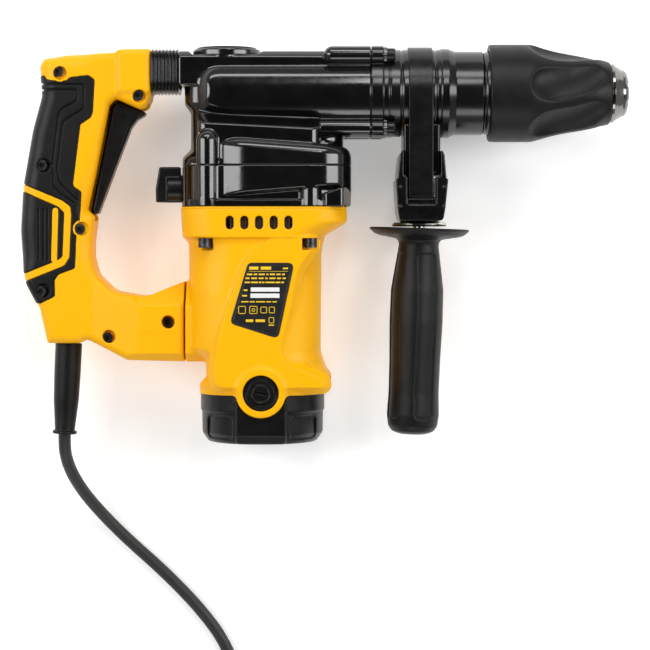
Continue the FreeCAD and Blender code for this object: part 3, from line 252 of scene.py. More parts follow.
def materials():
    """The finishes: the record's slots, and a few that only this file uses."""
    coal, ink = (0.0055, 0.0053, 0.0051), (0.003, 0.003, 0.003)
    rows = {
        "yellow_plastic": dict(
            colour=(0.93, 0.45, 0.0), rough=0.42, shift=0.012, grain=1500, relief=0.05, specular=0.22
        ),
        "black_casting": dict(
            colour=ink, rough=0.15, shift=0.2, rough_shift=0.03, grain=380, relief=0.05, specular=0.8,
            edge=(0.03, 0.03, 0.03),
        ),
        "black_gloss_plastic": dict(
            colour=ink, rough=0.22, shift=0.2, grain=700, relief=0.03, specular=0.35
        ),
        "black_plastic": dict(
            colour=(0.004, 0.0039, 0.0038), rough=0.32, shift=0.12, grain=1900, relief=0.16, specular=0.28
        ),
        "black_rubber": dict(
            colour=coal, rough=0.42, shift=0.1, grain=2300, relief=0.22, specular=0.24,
            edge=(0.04, 0.04, 0.04),
        ),
        "cable_rubber": dict(
            colour=(0.016, 0.0155, 0.015), rough=0.5, shift=0.12, grain=1700, relief=0.22
        ),
        "nose_metal": dict(
            colour=(0.24, 0.23, 0.215), rough=0.12, metallic=1.0, shift=0.1, rough_shift=0.03, relief=0.006
        ),
        "steel": dict(
            colour=(0.56, 0.56, 0.57), rough=0.28, metallic=1.0, grain=1600, relief=0.06,
            stretch=(1, 0.2, 0.2),
        ),
        "band_steel": dict(
            colour=ink, rough=0.3, shift=0.2, relief=0.03, specular=0.3, stretch=(1, 0.2, 1)
        ),
        "spring_steel": dict(colour=(0.4, 0.4, 0.41), rough=0.3, metallic=1.0, relief=0.05),
        "screw_steel": dict(
            colour=(0.012, 0.012, 0.013), rough=0.3, metallic=0.4, grain=1800, relief=0.12,
            edge=(0.09, 0.09, 0.09),
        ),
        "alloy": dict(colour=(0.6, 0.6, 0.61), rough=0.42, metallic=1.0, grain=900, relief=0.15),
        "lamination": dict(
            colour=(0.3, 0.3, 0.31), rough=0.4, metallic=1.0, grain=500, relief=0.5,
            stretch=(0.05, 4, 0.05),
        ),
        "copper": dict(
            colour=(0.75, 0.27, 0.1), rough=0.3, metallic=1.0, grain=900, relief=0.5, stretch=(3, 0.4, 3)
        ),
        "carbon": dict(colour=(0.02, 0.02, 0.021), rough=0.6, relief=0.2),
        "nickel": dict(colour=(0.7, 0.68, 0.63), rough=0.18, metallic=1.0, relief=0.03),
        "label": dict(colour=(0.010, 0.010, 0.010), rough=0.38, shift=0.15, relief=0.05),
        "black_satin": dict(
            colour=ink, rough=0.2, shift=0.2, rough_shift=0.03, grain=900, relief=0.02, specular=0.55
        ),
        "boot_rubber": dict(colour=(0.006, 0.006, 0.006), rough=0.22, shift=0.1, relief=0.1),
        "steel_dark": dict(colour=(0.16, 0.155, 0.15), rough=0.3, metallic=1.0, relief=0.1),
        "baffle": dict(colour=(0.14, 0.12, 0.1), rough=0.6, shift=0.2),
        "label_yellow": dict(colour=(0.85, 0.55, 0.02), rough=0.4, shift=0.05, relief=0.03),
        "label_white": dict(colour=(0.8, 0.8, 0.78), rough=0.4, shift=0.03, relief=0.03),
    }
    return {name: paint(name, **row) for name, row in rows.items()}


SLOT_OF = {row["node"]: row["material_slot"] for row in frame["record"]["subparts"]}
FINISH = materials()


def finish_nodes():
    """Give every carried-over CAD node its slot's finish."""
    for node, piece in frame["nodes"].items():
        for holder in piece.material_slots:
            holder.material = FINISH[SLOT_OF[node]]


finish_nodes()

# ------------------------------------------------------------------ distance fields

VOXEL = 0.6


def circle(u, v, cu, cv, radius):
    return np.hypot(u - cu, v - cv) - radius


def rectangle(u, v, u_low, u_high, v_low, v_high, radius=0.0):
    """A rectangle with rounded corners. Its bounds may vary along another axis."""
    a = np.abs(u - (u_low + u_high) / 2) - (u_high - u_low) / 2 + radius
    b = np.abs(v - (v_low + v_high) / 2) - (v_high - v_low) / 2 + radius
    return np.hypot(np.maximum(a, 0), np.maximum(b, 0)) + np.minimum(np.maximum(a, b), 0) - radius


def to_segment(u, v, a, b):
    """Squared distance to the line from a to b."""
    eu, ev = b[0] - a[0], b[1] - a[1]
    wu, wv = u - a[0], v - a[1]
    share = np.clip((wu * eu + wv * ev) / max(eu * eu + ev * ev, 1e-9), 0, 1)
    return (wu - share * eu) ** 2 + (wv - share * ev) ** 2


def stadium(u, v, a, b, radius):
    return np.sqrt(to_segment(u, v, a, b)) - radius


def trail(u, v, points, radius):
    """A line of that half-width through the points."""
    best = None
    for a, b in zip(points, points[1:]):
        gap = to_segment(u, v, a, b)
        best = gap if best is None else np.minimum(best, gap)
    return np.sqrt(best) - radius


def round_off(before, here, after, size, steps):
    """Points of the curve round a corner, or the corner where it is sharp or nearly straight."""
    here = Vector(here[:2])
    before, after = Vector(before[:2]) - here, Vector(after[:2]) - here
    bend = before.angle(after)
    if size <= 0 or bend > math.pi - 0.01:
        return [tuple(here)]
    reach = min(size / math.tan(bend / 2), 0.49 * before.length, 0.49 * after.length)
    start, end = here + before.normalized() * reach, here + after.normalized() * reach
    shares = [step / steps for step in range(steps + 1)]
    return [tuple(start * (1 - t) ** 2 + here * 2 * t * (1 - t) + end * t * t) for t in shares]


def fillet(corners, radius=0.0, steps=6):
    """The closed outline with its corners rounded. A corner's third value is its own radius."""
    out = []
    for index, corner in enumerate(corners):
        size = corner[2] if len(corner) > 2 else radius
        out += round_off(corners[index - 1], corner, corners[(index + 1) % len(corners)], size, steps)
    return out


def polygon(u, v, points):
    """A closed outline."""
    best = None
    inside = np.zeros(np.broadcast_shapes(u.shape, v.shape), dtype=bool)
    for a, b in zip(points, points[1:] + points[:1]):
        gap = to_segment(u, v, a, b)
        best = gap if best is None else np.minimum(best, gap)
        rise = b[1] - a[1]
        if abs(rise) > 1e-9:
            crossing = (v > min(a[1], b[1])) & (v <= max(a[1], b[1]))
            inside ^= crossing & (u < a[0] + (v - a[1]) / rise * (b[0] - a[0]))
    return np.where(inside, -1, 1) * np.sqrt(best)


def prism(flat, w, low, high, edge=0.0):
    """The flat outline drawn out from low to high, with rounded rims."""
    a = flat + edge
    b = np.abs(w - (low + high) / 2) - (high - low) / 2 + edge
    return np.hypot(np.maximum(a, 0), np.maximum(b, 0)) + np.minimum(np.maximum(a, b), 0) - edge


def join(a, b, soft=0.0):
    if soft <= 0:
        return np.minimum(a, b)
    share = np.maximum(soft - np.abs(a - b), 0) / soft
    return np.minimum(a, b) - share * share * soft * 0.25


def meet(a, b, soft=0.0):
    return -join(-a, -b, soft)


def carve(a, b, soft=0.0):
    return meet(a, -b, soft)


def knots(along, points, soften=0.0):
    """Values at points along an axis, joined by straight runs whose corners are softened."""
    points = sorted(points)
    at = np.array([p[0] for p in points], dtype=np.float32)
    values = np.array([p[1] for p in points], dtype=np.float32)
    flat = along.ravel()
    if soften <= 0:
        return np.interp(flat, at, values).reshape(along.shape).astype(np.float32)
    total = np.zeros_like(flat)
    offsets = np.linspace(-1, 1, 9)
    for offset in offsets:
        total += np.interp(flat + offset * soften, at, values)
    return (total / len(offsets)).reshape(along.shape).astype(np.float32)


class Space:
    """A box of sample points in which a piece's distance field is worked out and meshed."""

    MARGIN = 3  # samples kept free round the piece

    def __init__(self, low, high, voxel=VOXEL):
        self.voxel = voxel
        self.low = np.array(low, dtype=np.float32) - self.MARGIN * voxel
        inside = np.ceil((np.array(high) - np.array(low)) / voxel).astype(int)
        self.counts = inside + 2 * self.MARGIN + 1
        axes = [
            (self.low[i] + voxel * np.arange(self.counts[i])).astype(np.float32) for i in range(3)
        ]
        self.x = axes[0][:, None, None]
        self.y = axes[1][None, :, None]
        self.z = axes[2][None, None, :]
        self.side = np.abs(self.z)

    def sample(self, field, points):
        at = (points - self.low) / self.voxel
        cell = np.clip(np.floor(at).astype(int), 0, np.array(field.shape) - 2)
        part = (at - cell).astype(np.float32)
        total = np.zeros(len(points), dtype=np.float32)
        for corner in range(8):
            step = np.array([corner & 1, corner >> 1 & 1, corner >> 2 & 1])
            weight = np.prod(np.where(step, part, 1 - part), axis=1)
            i, j, k = (cell + step).T
            total += weight * field[i, j, k]
        return total

    def slopes(self, field, points):
        reach = 0.6 * self.voxel
        columns = []
        for axis in range(3):
            step = np.zeros(3, dtype=np.float32)
            step[axis] = reach
            rise = self.sample(field, points + step) - self.sample(field, points - step)
            columns.append(rise / (2 * reach))
        return np.stack(columns, axis=1)

    def mesh(self, name, field):
        limit = self.MARGIN * self.voxel
        field = np.broadcast_to(field, tuple(self.counts))
        field = np.ascontiguousarray(np.clip(field, -limit, limit), dtype=np.float32)
        grid = openvdb.FloatGrid(background=limit)
        grid.copyFromArray(field)
        points, triangles, quads = grid.convertToPolygons(isovalue=0.0, adaptivity=0.0)
        points = points * self.voxel + self.low
        for _ in range(2):
            slopes = self.slopes(field, points)
            steep = np.maximum((slopes**2).sum(axis=1), 0.2)
            points = points - slopes * (self.sample(field, points) / steep)[:, None]
        slopes = self.slopes(field, points)
        normals = slopes / np.maximum(np.linalg.norm(slopes, axis=1), 1e-6)[:, None]
        return mesh_piece(name, points, triangles, quads, normals)


def mesh_piece(name, points, triangles, quads, normals=None):
    mesh = bpy.data.meshes.new(name)
    corners = np.concatenate([np.ravel(triangles), np.ravel(quads)]).astype(np.int32)
    starts = np.concatenate(
        [3 * np.arange(len(triangles)), 3 * len(triangles) + 4 * np.arange(len(quads))]
    ).astype(np.int32)
    mesh.vertices.add(len(points))
    mesh.vertices.foreach_set("co", (np.asarray(points) * MM).astype(np.float32).ravel())
    mesh.loops.add(len(corners))
    mesh.loops.foreach_set("vertex_index", corners)
    mesh.polygons.add(len(starts))
    mesh.polygons.foreach_set("loop_start", starts)
    mesh.update(calc_edges=True)
    mesh.validate()
    mesh.shade_smooth()
    if normals is not None:
        mesh.normals_split_custom_set_from_vertices(normals.astype(np.float64))
    piece = bpy.data.objects.new(name, mesh)
    bpy.context.collection.objects.link(piece)
    return piece


def dress(piece, body, slot, *nodes, finish=None):
    """Material, body and replaced nodes of a finished piece."""
    piece.data.materials.append(FINISH[finish or slot])
    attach(piece, body)
    if nodes:
        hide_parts(*nodes)
    return piece


def lathe(name, profile, centre=(0, 0, 0), axis="x", around=128, turn=None, wave=None):
    """Turn an open profile of (along, radius) about an axis. Points with a third value are rounded."""
    outline = soften_line(profile)
    rows = []
    for along, radius in outline:
        angles = 2 * math.pi * np.arange(around) / around
        r = radius if wave is None else wave(along, radius, angles)
        u, v = r * np.cos(angles), r * np.sin(angles)
        a = np.full(around, along)
        rows.append(np.stack({"x": (a, u, v), "y": (u, a, v), "z": (u, v, a)}[axis], axis=1))
    points = np.concatenate(rows)
    quads = []
    index = np.arange(around)
    after = (index + 1) % around
    for row in range(len(rows) - 1):
        low, high = row * around, (row + 1) * around
        ring = [low + index, low + after, high + after, high + index]
        if axis == "y":
            ring.reverse()
        quads.append(np.stack(ring, axis=1))
    quads = np.concatenate(quads)
    closed = outline[0] == outline[-1]
    if closed:
        last = (len(rows) - 1) * around
        quads = np.where(quads >= last, quads - last, quads)
        points = points[:last]
    if turn is not None:
        points = points @ np.array(turn).T
    points = points + np.array(centre)
    piece = mesh_piece(name, points, np.zeros((0, 3), int), quads)
    piece.data.set_sharp_from_angle(angle=math.radians(38))
    return piece


def soften_line(points, steps=4):
    """An open line whose corners with a third value are rounded by that radius."""
    out = []
    for index, corner in enumerate(points):
        if len(corner) < 3 or index in (0, len(points) - 1):
            out.append(tuple(corner[:2]))
        else:
            out += round_off(points[index - 1], corner, points[index + 1], corner[2], steps)
    return out


# ------------------------------------------------------------------ cord

CORD_RADIUS = 3.95
FLOOR_RUN = -39.0
CORD_ROUTE = [
    (-355.0, -214.7, 0.0), (-355.4, -223.0, -1.6), (-354.6, -232.0, -6.5), (-351.6, -242.5, -14.0),
    (-346.6, -253.0, -22.5), (-340.2, -263.0, -30.0), (-332.4, -272.8, -35.6), (-323.4, -282.6, -38.4),
    (-312.4, -293.0, FLOOR_RUN), (-299.4, -304.6, FLOOR_RUN), (-285.0, -318.6, FLOOR_RUN),
    (-271.0, -333.8, FLOOR_RUN), (-258.6, -350.0, FLOOR_RUN), (-250.4, -367.0, FLOOR_RUN),
    (-249.8, -382.5, FLOOR_RUN), (-253.6, -395.5, FLOOR_RUN), (-260.9, -405.5, FLOOR_RUN),
]
COIL_CENTRE = (-215.0, -432.0)
COIL_START, COIL_END = 150, 270  # degrees; the coil ends this far past its last whole turn
COIL_RINGS = ((53, 0), (45, 0), (37, 0), (37, 1), (45, 1), (53, 1), (53, 2), (45, 2), (37, 2))
COIL_STEPS = 16  # spline points in one turn
LAYER_RISE = 7.9
TAIL = [
    (x, -469, z) for x, z in ((-200, -15.4), (-186, -15.6), (-172, -17.4), (-158, -22.6), (-147, -24.9))
]
PLUG_ENTRY = (-137.0, -469.0, -25.0)


def coil_points():
    """The cord's put-away length, in turns beside and on each other."""
    cx, cy = COIL_CENTRE
    start, last_turn = math.radians(COIL_START), math.radians(COIL_END - COIL_START)
    stops = COIL_RINGS + ((37, 3),)
    points = []
    for number, (radius, layer) in enumerate(COIL_RINGS):
        later_radius, later_layer = stops[number + 1]
        for step in range(1 if number == 0 else 0, COIL_STEPS):
            share = max(0.0, (step / COIL_STEPS - 0.6) / 0.4)
            share = share * share * (3 - 2 * share)
            now = radius + (later_radius - radius) * share
            height = FLOOR_RUN + LAYER_RISE * (layer + (later_layer - layer) * share)
            angle = start + 2 * math.pi * (number + step / COIL_STEPS)
            points.append((cx + now * math.cos(angle), cy + now * math.sin(angle), height))
    last_steps = round(COIL_STEPS * last_turn / (2 * math.pi))
    for step in range(last_steps + 1):
        angle = start + last_turn * step / last_steps
        height = FLOOR_RUN + 3 * LAYER_RISE
        points.append((cx + 37 * math.cos(angle), cy + 37 * math.sin(angle), height))
    return points


def nurbs(name, points, radius):
    curve = bpy.data.curves.new(name, "CURVE")
    curve.dimensions = "3D"
    spline = curve.splines.new("NURBS")
    spline.points.add(len(points) - 1)
    for target, point in zip(spline.points, points):
        target.co = (point[0] * MM, point[1] * MM, point[2] * MM, 1)
    spline.order_u = 3
    spline.use_endpoint_u = True
    curve.bevel_depth = radius * MM
    curve.bevel_resolution = 6
    curve.resolution_u = 8
    curve.use_fill_caps = True
    piece = bpy.data.objects.new(name, curve)
    bpy.context.collection.objects.link(piece)
    return piece


def make_cord():
    piece = nurbs("mains_cord", CORD_ROUTE + coil_points() + TAIL + [PLUG_ENTRY], CORD_RADIUS)
    dress(piece, "handle", "cable_rubber", "cord", "cord_coil")


make_cord()

# ------------------------------------------------------------------ motor housing and end cap

MOTOR_X = -229.5
BRUSH_Y = -186.6
SHELL_TOP = -71.8
WALL = 3.0
SCREW_X = (-264.0, -199.0)
SCREW_Z = 35.0
MOTOR_REAR = [
    (-71.8, -279.7), (-90.5, -278.6), (-94.5, -275.4), (-160, -274.5), (-166, -264.6), (-177.5, -264.4),
    (-182, -268.6), (-190, -268.5),
]
MOTOR_FRONT = [
    (-71.8, -176.4), (-81.3, -176.4), (-89.3, -189.6), (-95, -191.4), (-102, -192.2), (-162, -192.8),
    (-170, -190.6), (-177, -187), (-182.7, -187), (-184, -190), (-190, -190.4),
]
PANEL = [
    (-200, -90.6), (-222.5, -91.2, 12), (-238.4, -103.4, 22), (-243.6, -116.5, 20), (-249.5, -133.4),
    (-253.5, -145.8), (-255.6, -154.4), (-257.2, -164.8), (-258, -183, 6), (-190, -183),
    (-190.6, -178.5, 4), (-211.6, -170.1, 8), (-216.8, -162.8, 5), (-216.8, -156.5, 5),
    (-211.6, -135.4, 20), (-207, -110.4, 20), (-196, -95, 4),
]
VENTS = [-248.4 + 9.0 * number for number in range(5)]
VENT_LOW, VENT_HIGH = -85.8, -77.5


def make_motor_shell():
    s = Space((-297, -204.6, -43.2), (-175.8, -71.3, 43.2))
    rear = knots(s.y, MOTOR_REAR, 1.0)
    front = knots(s.y, MOTOR_FRONT, 1.0)
    halves = [(-71.8, 43), (-90.9, 43), (-91.5, 40.3), (-183.4, 40.3), (-184.2, 39), (-190, 39)]
    half = knots(s.y, halves)
    corners = [(-71.8, 21), (-90.6, 22), (-92.4, 31), (-106, 31), (-125, 27), (-190, 26)]
    corner = knots(s.y, corners, 0.8)
    body = rectangle(s.x, s.z, rear, front, -half, half, corner)
    # The raised panel on each flank
    flat = polygon(s.x, s.y, fillet(PANEL, 3))
    panel = np.maximum(flat * 0.8 + (s.side - 42.4) * 0.6, s.side - 42.4)
    panel = np.maximum(panel, 36 - s.side)
    body = join(body, panel, 1.6)
    # The arm that the rear handle's lower end meets
    arm = [(-168.2, -5), (-168.2, 18), (-163, 24), (-134, 24), (-117.9, 9), (-117.9, -5)]
    body = join(body, prism(polygon(s.y, s.side, arm), s.x, -277.0, -256.0, 0.8), 2.5)
    body = np.maximum(body, s.y - SHELL_TOP)
    body = np.maximum(body, -188.2 - s.y)
    boss_flat = circle(s.x, s.y, MOTOR_X, BRUSH_Y, 15.3)
    boss = np.hypot(np.maximum(boss_flat + 1.2, 0), np.maximum(s.side - 41.8, 0)) - 1.2
    boss = np.maximum(boss, 24 - s.side)
    body = join(body, boss, 3.0)
    hollow = rectangle(s.x, s.z, rear + WALL, front - WALL, WALL - half, half - WALL, corner - WALL)
    hollow = np.maximum(hollow, -186.0 - s.y)
    # It stays solid round the housing screws
    posts = np.minimum(*(circle(s.x, s.side, place, SCREW_Z, 8.6) for place in SCREW_X))
    hollow = np.maximum(hollow, -posts)
    body = carve(body, hollow)
    # Bore for the brush holder
    body = carve(body, np.maximum(circle(s.x, s.y, MOTOR_X, BRUSH_Y, 11.1), 20 - s.side))
    for centre in VENTS:
        slot = stadium(s.x, s.y, (centre, VENT_LOW + 2.45), (centre, VENT_HIGH - 2.45), 2.45)
        body = carve(body, np.maximum(slot, 30 - s.side), 0.7)
    for place in SCREW_X:
        well = rectangle(s.x, s.side, place - 5.0, place + 5.0, SCREW_Z - 4.6, 60, 4.5)
        well = np.maximum(well, np.maximum(-98.4 - s.y, s.y + 91.2))
        body = carve(body, well, 0.8)
    # Seat line under the gear case
    rim = np.abs(s.y + 73.2) - 0.3
    body = carve(body, np.maximum(rim, -(body + 0.6)), 0)
    dress(s.mesh("motor_shell", body), "housing", "yellow_plastic", "motor_housing")


def make_baffles():
    """The wall and fins seen through the vents."""
    s = Space((-255, -90, -39), (-208, -74, 39), 0.7)
    body = prism(rectangle(s.x, s.y, -254, -209, -89, -75), s.side, 29.2, 30.6, 0.3)
    for centre in VENTS:
        fin = prism(rectangle(s.x, s.y, centre - 0.2, centre + 1.1, -89, -75), s.side, 30, 38.5, 0.3)
        body = np.minimum(body, fin)
    body = np.maximum(body, 29.2 - s.side)
    dress(s.mesh("vent_baffles", body), "housing", "yellow_plastic", finish="baffle")


def make_end_cap():
    s = Space((-270, -221, -40.8), (-189, -187.4, 40.8))
    sizes = [(-187, 39.1), (-199.0, 39.1), (-199.7, 38.3), (-213.0, 38.1), (-218.8, 34.4)]
    size = knots(s.y, sizes, 0.5)
    body = circle(s.x, s.z, MOTOR_X, 0, 0) - size
    body = meet(body, -219.0 - s.y, 1.6)
    body = np.maximum(body, s.y + 187.8)
    # The block below each brush cap
    tab = rectangle(s.x, s.y, MOTOR_X - 15.5, MOTOR_X + 15.5, -218.6, -180, 2.0)
    face = np.maximum(s.side - 40.5, (s.side - 40.5) * 0.8 + (-213.0 - s.y) * 0.6)
    tab = np.maximum(meet(tab, face, 1.0), 25 - s.side)
    body = join(body, np.maximum(tab, s.y + 192.0), 0.6)
    # Shallow panels beside it
    beside = np.abs(s.x - MOTOR_X)
    low = rectangle(beside, s.y, 18.0, 33.5, -216.0, -201.4, 3.0)
    body = carve(body, np.maximum(low, -(body + 1.1)), 0.8)
    body = carve(body, np.maximum(circle(s.x, s.y, MOTOR_X, BRUSH_Y, 15.6), 24 - s.side), 0.4)
    hollow = np.maximum(circle(s.x, s.z, MOTOR_X, 0, 0) - size + 3.4, -217 - s.y)
    # The rear bearing's seat stays solid
    seat = circle(s.x, s.z, MOTOR_X, 0, 12)
    body = carve(body, np.maximum(hollow, -seat))
    body = carve(body, np.maximum(circle(s.x, s.z, MOTOR_X, 0, 9), -215 - s.y))
    dress(s.mesh("motor_cap", body), "housing", "black_plastic", "end_cap")


def make_brush_caps():
    for side, name in ((1, "brush_cap_right"), (-1, "brush_cap_left")):
        low, high = (28, 43.2) if side > 0 else (-43.2, -28)
        s = Space((-241.5, -200.8, low), (-217.5, -176.8, high), 0.35)
        r = circle(s.x, s.y, MOTOR_X, BRUSH_Y, 0)
        body = prism(r - 10.9, s.side, 29, 41.6, 0.5)
        body = carve(body, np.maximum(np.abs(r - 9.0) - 0.45, 41.0 - s.side), 0.3)
        dome = np.maximum(r - 8.2, s.side - 42.1 + 0.004 * r * r)
        body = join(body, np.maximum(dome, 40 - s.side), 0.3)
        body = carve(body, np.maximum(np.abs(r - 5.3) - 0.3, 41.6 - s.side), 0.3)
        # The screwdriver slot
        angle = math.radians(-12)
        reach_x, reach_y = 3.6 * math.cos(angle), 3.6 * math.sin(angle)
        start, end = (MOTOR_X - reach_x, BRUSH_Y - reach_y), (MOTOR_X + reach_x, BRUSH_Y + reach_y)
        body = carve(body, np.maximum(stadium(s.x, s.y, start, end, 0.8), 40.4 - s.side), 0.25)
        piece = s.mesh(name, body)
        dress(piece, "housing", "black_plastic")
        if side > 0:
            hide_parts("brush_caps")


PLATE = [(-237.2, -106.2), (-208.7, -106.2), (-218.7, -152.9), (-248.4, -143.5)]
PLATE_ROWS = (
    # x of the start, x of the end, y of the top, height, lengths of the bars in turn
    (-236.4, -223.0, -108.6, 1.9, (5.6, 6.4)),
    (-215.8, -212.6, -109.2, 1.0, (3.2,)),
    (-237.9, -214.6, -112.9, 0.95, (3.4, 2.2, 3.8, 1.4, 3.2, 2.6, 1.8)),
    (-238.8, -214.0, -115.3, 0.95, (2.6, 3.6, 3.0, 1.6, 3.8, 2.4, 2.0)),
    (-239.2, -215.2, -117.8, 0.95, (3.4, 4.2, 1.4, 1.6, 5.6, 3.0, 1.6)),
    (-239.9, -237.4, -122.6, 0.95, (2.4,)),
    (-240.8, -237.6, -126.0, 0.95, (3.0,)),
    (-241.3, -219.6, -129.8, 0.75, (4.4, 3.2, 5.6, 3.0, 2.6)),
    (-238.6, -226.8, -141.0, 1.6, (4.6, 5.8)),
)
PLATE_LINE = 0.42  # width of a frame's line
PRINT_LOW = 42.74  # z where the raised bars start, just inside the plate
PLATE_FIELDS = [(-235.5, -217.9, -121.4, -124.0), (-235.7, -217.9, -125.1, -127.8)]
PLATE_FRAMES = [
    (-243.2, -238.6, -132.8, -137.6), (-236.4, -231.4, -132.8, -137.6),
    (-234.9, -232.9, -134.2, -136.2), (-229.6, -225.6, -133.2, -137.2),
    (-224.4, -220.8, -133.2, -137.2), (-224.6, -221.2, -139.6, -143.4),
]


def plate_bars():
    """Plain bars in place of a rating plate's rows, and frames in place of its marks."""
    bars = [(-236.4, -212.6, -111.4, -111.65), (-224.6, -221.2, -144.2, -144.9)]
    for start, end, top, height, lengths in PLATE_ROWS:
        gap = (end - start - sum(lengths)) / max(len(lengths) - 1, 1)
        x = start
        for length in lengths:
            bars.append((x, x + length, top, top - height))
            x += length + gap
    for left, right, top, bottom in PLATE_FRAMES:
        bars += [
            (left, right, top, top - PLATE_LINE),
            (left, right, bottom + PLATE_LINE, bottom),
            (left, left + PLATE_LINE, top, bottom),
            (right - PLATE_LINE, right, top, bottom),
        ]
    return bars


def thin_tile(name, boxes, low, high):
    """Small raised bars with bevelled rims."""
    shape = bmesh.new()
    for x_low, x_high, y_high, y_low in boxes:
        made = bmesh.ops.create_cube(shape, size=1.0)
        centre = Vector(((x_low + x_high) / 2, (y_low + y_high) / 2, (low + high) / 2)) * MM
        sizes = Vector((x_high - x_low, y_high - y_low, high - low)) * MM
        for vertex in made["verts"]:
            vertex.co = Vector(a * b for a, b in zip(vertex.co, sizes)) + centre
    bmesh.ops.bevel(
        shape,
        geom=list(shape.edges),
        offset=(high - low) * 0.35 * MM,
        segments=2,
        affect="EDGES",
    )
    mesh = bpy.data.meshes.new(name)
    shape.to_mesh(mesh)
    shape.free()
    piece = bpy.data.objects.new(name, mesh)
    bpy.context.collection.objects.link(piece)
    return piece


def make_plate():
    s = Space((-249, -154.5, 41.8), (-207.5, -105.5, 43.0), 0.3)
    flat = polygon(s.x, s.y, fillet(PLATE, 3.6))
    body = prism(flat, s.z, 42.0, 42.8, 0.2)
    body = carve(body, np.maximum(np.abs(flat + 1.3) - 0.18, 42.68 - s.z), 0)
    dress(s.mesh("rating_plate", body), "housing", "label", "label_plate")
    bars = thin_tile("plate_bars", plate_bars(), PRINT_LOW, 42.86)
    dress(bars, "housing", "label", finish="label_yellow")
    fields = thin_tile("plate_fields", PLATE_FIELDS, PRINT_LOW, 42.88)
    dress(fields, "housing", "label", finish="label_white")


make_motor_shell()
make_baffles()
make_end_cap()
make_brush_caps()
make_plate()

# ------------------------------------------------------------------ gear case, fan housing and barrel

CRANK_X, LAY_X = -251.9, -203.9
CASE_SEAM = -46.2
BOSS_PLACE = 22.6
CASE_REAR = [(29, -281), (5, -277.9), (-8, -277.9), (-13, -274), (-36, -274), (-41, -278.8), (-72, -278.8)]
BEAM_HALF = 21.6
POD = [
    (-268, 15, 15), (-100, 15), (-100, -45), (-215, -45), (-216, -22, 3), (-232, -19.5, 10),
    (-255, -15.5, 10), (-268, -11.5, 9),
]
PILLAR = (-262.5, 34.6, 6.7)  # its x, z and radius
PILLAR_TOP = -24.5
COLUMN_X = -199
BARREL_SEAM = -161.3


def pillars(s):
    """The screw columns that run through the case and the fan housing."""
    rear = circle(s.x, s.side, *PILLAR)
    dome_y = PILLAR_TOP - PILLAR[2]
    dome = np.hypot(np.maximum(s.y - dome_y, 0), np.maximum(rear + PILLAR[2], 0)) - PILLAR[2]
    return np.maximum(np.where(s.y > dome_y, dome, rear), 0.1 - s.side)


def case_core(s):
    rear = knots(s.y, CASE_REAR, 1.5)
    half = knots(s.y, [(-72, 31), (-44, 31), (-32, 22), (8, 21.6)], 2)
    return rectangle(s.x, s.side, rear, -178.5, -60, half, 13)


def tub_plan(s):
    corner = knots(s.x, [(-240, 31), (-205, 20)], 2)
    return rectangle(s.x, s.side, -266.5, -173.6, -60, 42.2, corner)


def tub(s, top, rise):
    """The wide box round the gears. Its top runs down towards the front."""
    plan = tub_plan(s)
    along = s.y + 0.075 * (s.x + 255)
    return prism(plan, along, -100, top, rise)


def four(s, radius):
    """The four columns at the corners of the barrel's flange."""
    return circle(np.abs(s.y), s.side, BOSS_PLACE, BOSS_PLACE, radius)


def make_gear_case():
    s = Space((-282, -46.4, -42.4), (-160.6, 29, 42.4))
    beam = prism(rectangle(s.y, s.z, 4, 25.2, -BEAM_HALF, BEAM_HALF, 0.8), s.x, -281, -158, 1.2)
    beam = meet(beam, (s.y - 25.2) * 0.72 + (s.side - BEAM_HALF + 3.6) * 0.694, 1.0)
    core = np.maximum(case_core(s), s.y - 8)
    body = join(beam, core, 1.5)
    pod_flat = polygon(s.x, s.y, fillet(POD))
    bevel = (pod_flat + s.side - BEAM_HALF - 0.6) * 0.707
    pod = meet(circle(s.y, s.z, 0, 0, 28), np.maximum(bevel, pod_flat - 2.5), 1.2)
    body = join(body, pod, 1.0)
    along = s.y + 0.05 * (s.x + 257)
    slab = rectangle(s.x, s.side, -268.5, -193.5, -60, 36, 5.5)
    slab = meet(slab, (s.side - 29) * 0.47 + (along + 17) * 0.88, 1.0)
    slab = np.maximum(slab, -42 - s.y)
    body = join(body, slab, 0.9)
    body = join(body, tub(s, -28.8, 6.3), 1.0)
    for start, wanted in ((-185.5, s.y > 0), (-198.0, s.y <= 0)):
        bosses = four(s, 5.2)
        rounded = np.hypot(np.maximum(bosses + 5.2, 0), np.maximum(start - s.x, 0)) - 5.2
        bosses = np.where(s.x < start, rounded, bosses)
        body = join(body, np.where(wanted, bosses, 9.0), 1.2)
    body = join(body, pillars(s), 1.6)
    shell = np.maximum(body, s.y - 22)
    # Seat and boss of the grease cap
    crank = circle(s.x, s.z, CRANK_X, 0, 0)
    body = carve(body, np.maximum(crank - 28.4, 22.6 - s.y), 0.8)
    body = join(body, prism(crank - 21.4, s.y, 15, 27.2, 1.2), 0.6)
    # Seams with the barrel and the fan housing
    body = np.maximum(body, s.x + 161.4)
    body = body + 0.7 * np.maximum(0.4 - np.abs(s.y - CASE_SEAM), 0)
    body = body + 0.7 * np.maximum(0.4 - np.abs(s.x + 161.4), 0)
    body = np.maximum(body, CASE_SEAM - s.y)
    body = carve(body, shell + WALL)
    dress(s.mesh("gear_housing", body), "housing", "black_casting", "gear_case")
    dress(
        lathe(
            "grease_lid",
            [(26, 0), (28.1, 0.01), (28.1, 12.6, 0.2), (27.7, 13, 0.2), (27.7, 15.4, 0.2), (28.4, 16, 0.3),
             (28.4, 18.4, 0.4), (27.7, 19, 0.4), (26, 19)],
            (CRANK_X, 0, 0), "y",
        ),
        "housing", "black_plastic", "grease_cap",
    )


